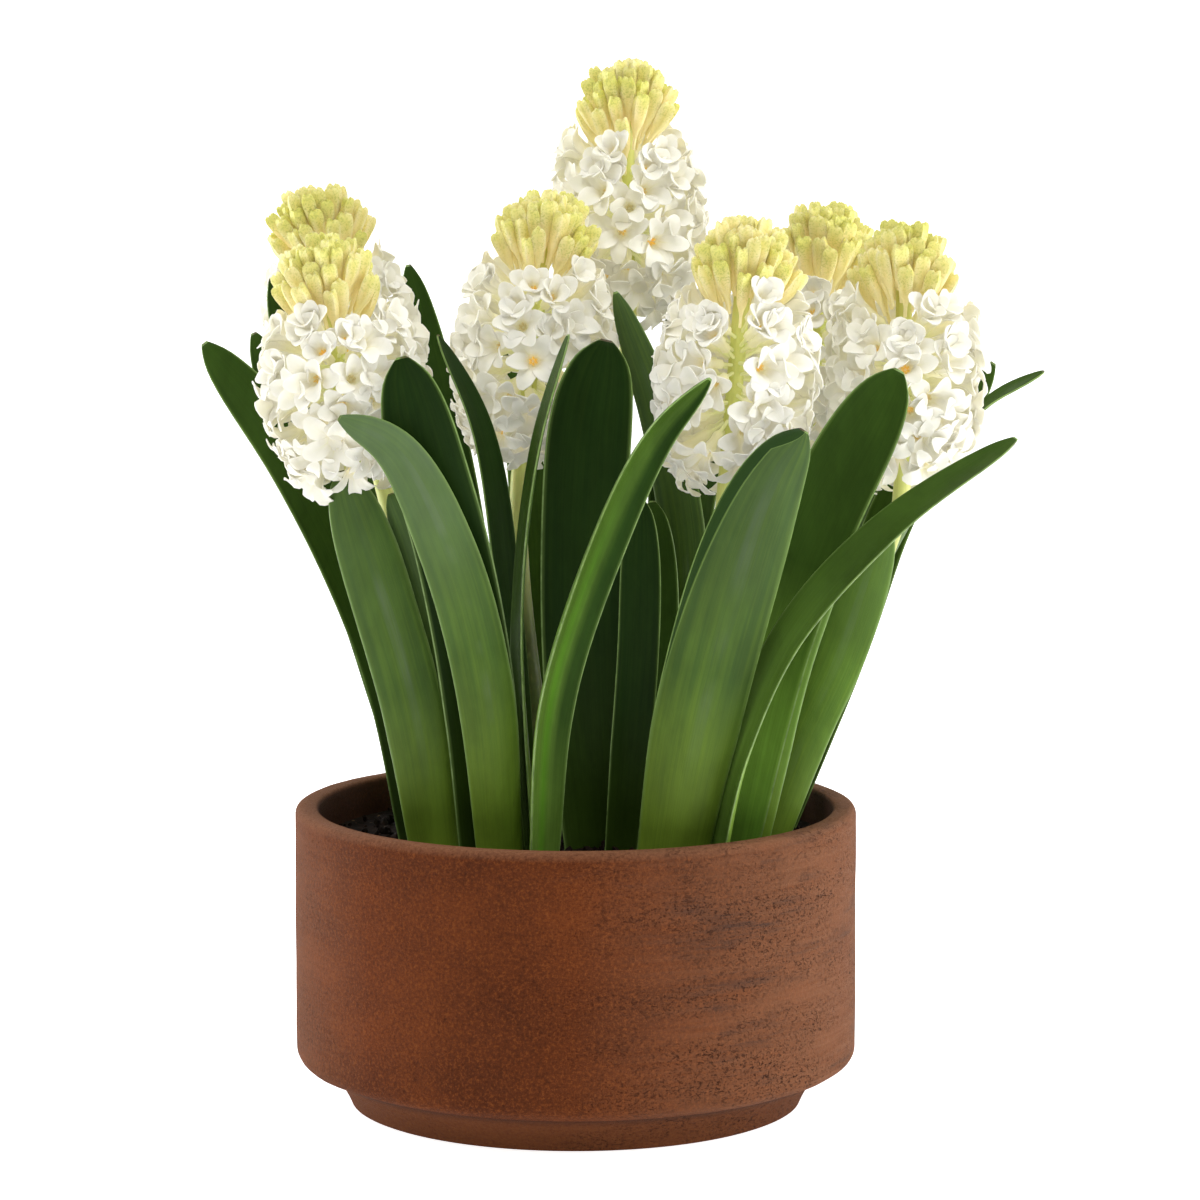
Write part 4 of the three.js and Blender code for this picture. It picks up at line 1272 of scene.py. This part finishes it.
def make_leaves(looks, draw):
    """Every leaf of every plant, with a hollow side, an outer side and an edge."""
    hollow_foot = tuple(between(a, b, LEAF_HOLLOW_FOOT) for a, b in zip(looks.hollow, looks.foot))
    materials = [
        leaf_material("leaf_hollow_side", hollow_foot, looks.hollow, 0.0, 0.07, looks),
        leaf_material("leaf_outer_side", looks.foot, looks.outer, 0.55, 0.16, looks),
        edge_material(looks),
    ]
    for number, group in enumerate(PLANTS, 1):
        for letter, row in zip("abcdef", group["leaves"]):
            obj = make_leaf(f"strap_leaf_{number}{letter}", row, materials, draw)
            seated(obj, f"leaf_{number}{letter}", 60)


# Florets

def tepal_width(share):
    """The share of a petal's full width at a share of its length: narrow foot, bluntly pointed tip."""
    if share < TEPAL_WIDEST:
        return between(TEPAL_FOOT_SHARE, 1, eased(share / TEPAL_WIDEST))
    return math.sqrt(1 - ((share - TEPAL_WIDEST) / (TEPAL_END - TEPAL_WIDEST)) ** 2)


def tepal_profile(lean, length):
    """Points up the middle of a petal, and its lean at each: upright at first, then curling back."""
    out, rise = THROAT_RADIUS * MM, 0.0
    points = []
    for i in range(TEPAL_STEPS + 1):
        angle = between(*lean, (i / TEPAL_STEPS) ** TEPAL_CURL_POWER)
        points.append((out, rise, angle))
        out += length / TEPAL_STEPS * math.sin(angle)
        rise += length / TEPAL_STEPS * math.cos(angle)
    return points


def make_tepal(opening, turn, inner, floret, draw):
    """A thin petal, bent back along its length, cupped across, and a little twisted and ruffled."""
    bpy.ops.mesh.primitive_grid_add(x_subdivisions=TEPAL_COLUMNS, y_subdivisions=TEPAL_ROWS, size=1)
    obj = added("tepal")
    length = floret.tepal * opening["length"] * draw.uniform(*TEPAL_LENGTHS)
    width = floret.width * opening["width"] * draw.uniform(*TEPAL_WIDTHS)
    width *= INNER_TEPAL_WIDTH if inner else 1
    lean = [
        math.radians(angle + draw.uniform(*TEPAL_LEANS) - INNER_TEPAL_LEAN * inner)
        for angle in opening["lean"]]
    profile = tepal_profile(lean, length)
    twist, ruffle = draw.uniform(-TEPAL_TWIST, TEPAL_TWIST), draw.uniform(*TEPAL_RUFFLE)
    phase = draw.uniform(*ANY_TURN)
    rises = {}
    for vertex in obj.data.vertices:
        u, share = 2 * vertex.co.x, vertex.co.y + 0.5
        reach = share * (1 - TEPAL_ROUNDING * u * u * share * share)
        out, rise, angle = profile[round(reach * TEPAL_STEPS)]
        half = width * tepal_width(share) / 2
        cup = opening["cup"] * (1 - TEPAL_FLATTENING * share * share)
        inward = half * (cup * u * u + twist * u * share)
        inward += half * ruffle * u ** 3 * math.sin(TEPAL_RUFFLE_TURNS * share + phase)
        vertex.co = (out - inward * math.cos(angle), half * u, floret.tube + rise + inward * math.sin(angle))
        rises[vertex.index] = between(THROAT_RISE, 1, share)
    obj.data.transform(Matrix.Rotation(turn, 4, "Z"))
    values = obj.data.attributes.new("rise", "FLOAT", "POINT")
    values.data.foreach_set("value", [rises[i] for i in range(len(rises))])
    modify(obj, "SOLIDIFY", thickness=TEPAL_THICKNESS * MM, offset=0.0)
    return obj


def make_anther(turn, floret):
    """A long grain of pollen, leaning outwards just inside the throat."""
    bpy.ops.mesh.primitive_uv_sphere_add(segments=5, ring_count=4, radius=ANTHER_RADIUS * MM)
    obj = added("anther")
    obj.data.transform(Matrix.Diagonal(ANTHER_SHAPE))
    spot = Vector(ANTHER_PLACE) * MM + floret.tube * UP
    lean = Matrix.Rotation(ANTHER_LEAN, 4, "Y")
    obj.data.transform(Matrix.Rotation(turn, 4, "Z") @ Matrix.Translation(spot) @ lean)
    return obj


def make_floret(kind, floret, materials, draw):
    """One floret: stalk and tube, six petals in two whorls, and six anthers in its throat."""
    opening = OPENINGS[kind]
    tube = floret.tube / MM
    body = turned("tube", in_metres([
        (0.7, 0),
        (0.7, 0.36 * tube),
        (2.0, 0.48 * tube),
        (1.7, 0.68 * tube),
        (THROAT_RADIUS + 0.3, tube + 0.4),
        (THROAT_RADIUS - 0.2, tube + 0.2),
        (THROAT_RADIUS * 0.6, tube - 2.2),
    ]), TEPALS)
    graded(body, "rise", lambda co: THROAT_RISE * co.z / floret.tube)
    body.data.materials.append(materials[0])
    parts = [body]
    for i in range(TEPALS):
        turn = 2 * math.pi * i / TEPALS + draw.uniform(*TEPAL_TURNS)
        petal = make_tepal(opening, turn, i % 2, floret, draw)
        petal.data.materials.append(materials[0])
        anther = make_anther(turn + ANTHER_TURN, floret)
        anther.data.materials.append(materials[1])
        parts += [petal, anther]
    return joined(f"floret_{kind}", parts)


def floret_kind(share):
    """Old florets droop at the foot of a head, and the youngest are still cups."""
    return next(kind for kind, opening in OPENINGS.items() if share <= opening["until"])


def parted(azimuth, parting):
    """Turns a floret aside where a head is open and its stem shows: the parting's middle and half width."""
    if parting is None:
        return azimuth
    middle, half = (math.radians(angle) for angle in parting)
    off = (azimuth - middle + math.pi) % (2 * math.pi) - math.pi
    if abs(off) >= 2 * half:
        return azimuth
    return middle + math.copysign(half + abs(off) / 2, off)


def make_florets(floret, draw):
    """The open florets of each head, spiralling up its stem."""
    materials = [petal_material(floret), pollen_material(floret)]
    models = {
        kind: [make_floret(kind, floret, materials, draw) for _ in range(FLORET_MODELS)]
        for kind in OPENINGS}
    for number, row in enumerate(PLANTS, 1):
        stand = head_place(row)
        highest = head_length(row) - FLORETS_BELOW_TOP
        start = draw.uniform(*ANY_TURN)
        places = []
        for i in range(floret.count):
            share = i / (floret.count - 1)
            azimuth = parted(start + i * GOLDEN_ANGLE + draw.uniform(*FLORET_TURNS), row["parting"])
            lift = math.radians(between(*FLORET_LIFT, eased(share * 0.8 + 0.1)) + draw.uniform(*FLORET_LEANS))
            root = outward(azimuth, 0) * FLORET_ROOT
            root.z = between(FLORET_LOWEST, highest, share) + draw.uniform(*FLORET_SHIFTS)
            fullness = math.sin(math.pi * between(*HEAD_FULLNESS, share))
            size = between(HEAD_END_SIZE, 1.0, fullness) * draw.uniform(*FLORET_SIZES)
            place = grown(stand, root, azimuth, lift, draw.uniform(*FLORET_ROLLS), size)
            places.append((draw.choice(models[floret_kind(share)]), place))
        obj = planted(f"open_florets_{number}", places)
        seated(obj, f"florets_{number}", 75)
    discard([model for kinds in models.values() for model in kinds])


# Buds

def make_bud(name, length, radius, skin):
    """A closed bud on its stalk: three ridges, a full waist and a blunt, notched tip."""
    def ridged(co):
        return math.sin(BUD_RIDGES * math.atan2(co.y, co.x))

    obj = turned(name, [(radius * wide, length * high) for wide, high in BUD_OUTLINE], BUD_SIDES)
    for vertex in obj.data.vertices:
        share = (vertex.co.z / length - BUD_RIDGES_FROM) / (1 - BUD_RIDGES_FROM)
        ridge = eased(share) * ridged(vertex.co)
        vertex.co.xy *= 1 + BUD_RIDGE * ridge
        vertex.co.z += BUD_NOTCH * length * ridge
    graded(obj, "rise", lambda co: co.z / length)
    graded(obj, "ridge", lambda co: 0.5 + 0.5 * ridged(co))
    obj.data.materials.append(skin)
    return obj


def make_buds(bud, draw):
    """The crown of closed buds on each head, spiralling in to its top."""
    skin = bud_material(bud)
    models = [
        make_bud(f"bud_{i}", bud.length, bud.radius * width, skin) for i, width in enumerate(BUD_WIDTHS)]
    for number, row in enumerate(PLANTS, 1):
        stand = head_place(row)
        start = draw.uniform(*ANY_TURN)
        places = []
        for i in range(bud.count):
            share = i / (bud.count - 1)
            azimuth = start + i * GOLDEN_ANGLE + draw.uniform(*BUD_TURNS)
            size = draw.uniform(*BUD_SIZES)
            length = size * bud.length / MM
            reach = math.sqrt(1 - share)
            spread = (CROWN_RADIUS - BUD_ROOT) * reach * draw.uniform(*BUD_SPREADS)
            lift = math.acos(spread / length)
            root = outward(azimuth, 0) * BUD_ROOT * reach
            tip = head_length(row) - CROWN_DEPTH * reach ** CROWN_STEEPNESS + draw.uniform(*BUD_SHIFTS)
            root.z = tip - length * math.sin(lift)
            place = grown(stand, root, azimuth, lift, draw.uniform(*BUD_ROLLS), size)
            places.append((draw.choice(models), place))
        obj = planted(f"closed_buds_{number}", places)
        seated(obj, f"buds_{number}", 60)
    discard(models)


# Stage

def make_floor(stage):
    """A sheet of studio paper that bends up behind the plant."""
    bpy.ops.mesh.primitive_plane_add(size=PAPER_SIZE, location=PAPER_MIDDLE)
    floor = added("studio_floor")
    bpy.ops.object.transform_apply(location=True, rotation=False, scale=False)
    bpy.ops.object.mode_set(mode="EDIT")
    bpy.ops.mesh.select_mode(type="EDGE")
    bpy.ops.mesh.select_all(action="DESELECT")
    mesh = bmesh.from_edit_mesh(floor.data)
    back = max(mesh.edges, key=lambda edge: edge.verts[0].co.y + edge.verts[1].co.y)
    back.select_set(True)
    bmesh.update_edit_mesh(floor.data)
    bpy.ops.mesh.extrude_region_move(TRANSFORM_OT_translate={"value": (0, 0, PAPER_RISE)})
    bpy.ops.object.mode_set(mode="OBJECT")
    modify(floor, "BEVEL", width=PAPER_BEND, segments=16, angle_limit=math.radians(40))
    bpy.ops.object.shade_smooth()
    floor.data.materials.append(floor_material(stage))


def make_light(name, power, spot, size):
    """An oblong soft light that looks at the middle of the plant."""
    bpy.ops.object.light_add(type="AREA", location=spot)
    light = bpy.context.view_layer.objects.active
    light.name = name
    light.data.shape = "RECTANGLE"
    light.data.size, light.data.size_y = size
    light.data.energy = power
    light.rotation_euler = (LIGHTS_AIM - Vector(spot)).to_track_quat("-Z", "Y").to_euler()
    light.visible_camera = False


def make_stage(stage):
    """Floor, lights, camera, and a sky that lights from the far side and shows white."""
    make_floor(stage)
    for name, beside, spot, size in LIGHTS:
        make_light(name, stage.key if beside else stage.top, spot, size)
    world = bpy.data.worlds.new("studio")
    world.use_nodes = True
    sky = world.node_tree.nodes["Background"]
    sky.inputs["Color"].default_value = (1, 1, 1, 1)
    nodes = Nodes(world.node_tree)
    toward = nodes.apart(nodes.add("ShaderNodeTexCoord", {}).outputs["Generated"])["Y"]
    light = nodes.larger(nodes.ranged(toward, -0.9, 0.3, 0.45 * stage.sky, stage.sky), nodes.camera_ray())
    world.node_tree.links.new(light, sky.inputs["Strength"])
    bpy.context.scene.world = world
    bpy.context.scene.view_settings.view_transform = "Standard"
    bpy.ops.object.camera_add(
        location=(stage.across, -stage.distance, stage.height), rotation=(math.pi / 2 - stage.tilt, 0, 0))
    camera = bpy.context.view_layer.objects.active
    camera.name = "camera"
    camera.data.lens = stage.lens
    camera.data.sensor_width = SENSOR_WIDTH
    bpy.context.scene.camera = camera


# Operators and panel

class HYACINTH_OT_pot(bpy.types.Operator):
    """Turn the clay pot, with its worn lip, short foot and pitted wall"""

    bl_idname = "hyacinth.pot"
    bl_label = "Clay Pot"
    bl_options = {"REGISTER", "UNDO"}

    def execute(self, context):
        make_pot(context.scene.hyacinth_pot)
        return {"FINISHED"}


class HYACINTH_OT_soil(bpy.types.Operator):
    """Fill the pot with soil and scatter crumbs on it"""

    bl_idname = "hyacinth.soil"
    bl_label = "Potting Soil"
    bl_options = {"REGISTER", "UNDO"}

    def execute(self, context):
        make_soil(context.scene.hyacinth_soil, random.Random(SOIL_SEED))
        return {"FINISHED"}


class HYACINTH_OT_bulbs(bpy.types.Operator):
    """Set a bulb in the soil under each stem"""

    bl_idname = "hyacinth.bulbs"
    bl_label = "Bulbs"
    bl_options = {"REGISTER", "UNDO"}

    def execute(self, context):
        make_bulbs(context.scene.hyacinth_bulb)
        return {"FINISHED"}


class HYACINTH_OT_stems(bpy.types.Operator):
    """Grow a stem from each bulb up into its flower head"""

    bl_idname = "hyacinth.stems"
    bl_label = "Flower Stems"
    bl_options = {"REGISTER", "UNDO"}

    def execute(self, context):
        make_stems(context.scene.hyacinth_stem)
        return {"FINISHED"}


class HYACINTH_OT_leaves(bpy.types.Operator):
    """Bend every strap leaf along its path"""

    bl_idname = "hyacinth.leaves"
    bl_label = "Strap Leaves"
    bl_options = {"REGISTER", "UNDO"}

    def execute(self, context):
        make_leaves(context.scene.hyacinth_leaf, random.Random(LEAF_SEED))
        return {"FINISHED"}


class HYACINTH_OT_florets(bpy.types.Operator):
    """Set the open florets round each head"""

    bl_idname = "hyacinth.florets"
    bl_label = "Open Florets"
    bl_options = {"REGISTER", "UNDO"}

    def execute(self, context):
        make_florets(context.scene.hyacinth_floret, random.Random(FLORET_SEED))
        return {"FINISHED"}


class HYACINTH_OT_buds(bpy.types.Operator):
    """Crown each head with closed buds"""

    bl_idname = "hyacinth.buds"
    bl_label = "Closed Buds"
    bl_options = {"REGISTER", "UNDO"}

    def execute(self, context):
        make_buds(context.scene.hyacinth_bud, random.Random(BUD_SEED))
        return {"FINISHED"}


class HYACINTH_OT_stage(bpy.types.Operator):
    """Set up the floor, the lights and the camera"""

    bl_idname = "hyacinth.stage"
    bl_label = "Studio"
    bl_options = {"REGISTER", "UNDO"}

    def execute(self, context):
        make_stage(context.scene.hyacinth_stage)
        return {"FINISHED"}


class HYACINTH_PT_panel(bpy.types.Panel):
    """The settings of each piece, over the button that makes it"""

    bl_idname = "HYACINTH_PT_panel"
    bl_label = "Potted Hyacinths"
    bl_space_type = "VIEW_3D"
    bl_region_type = "UI"
    bl_category = "Hyacinths"

    def draw(self, context):
        for name, operator in zip(SETTINGS, OPERATORS):
            box = self.layout.box()
            settings = getattr(context.scene, name)
            for key in settings.__annotations__:
                box.prop(settings, key)
            box.operator(operator.bl_idname)


OPERATORS = [
    HYACINTH_OT_pot,
    HYACINTH_OT_soil,
    HYACINTH_OT_bulbs,
    HYACINTH_OT_stems,
    HYACINTH_OT_leaves,
    HYACINTH_OT_florets,
    HYACINTH_OT_buds,
    HYACINTH_OT_stage,
]


def register():
    for kind in [*SETTINGS.values(), *OPERATORS, HYACINTH_PT_panel]:
        bpy.utils.register_class(kind)
    for name, kind in SETTINGS.items():
        setattr(bpy.types.Scene, name, PointerProperty(type=kind))


def unregister():
    for name in SETTINGS:
        delattr(bpy.types.Scene, name)
    for kind in reversed([*SETTINGS.values(), *OPERATORS, HYACINTH_PT_panel]):
        bpy.utils.unregister_class(kind)


def main():
    register()
    bpy.ops.hyacinth.pot()
    bpy.ops.hyacinth.soil()
    bpy.ops.hyacinth.bulbs()
    bpy.ops.hyacinth.stems()
    bpy.ops.hyacinth.leaves()
    bpy.ops.hyacinth.florets()
    bpy.ops.hyacinth.buds()
    bpy.ops.hyacinth.stage()


if __name__ == "__main__":
    main()
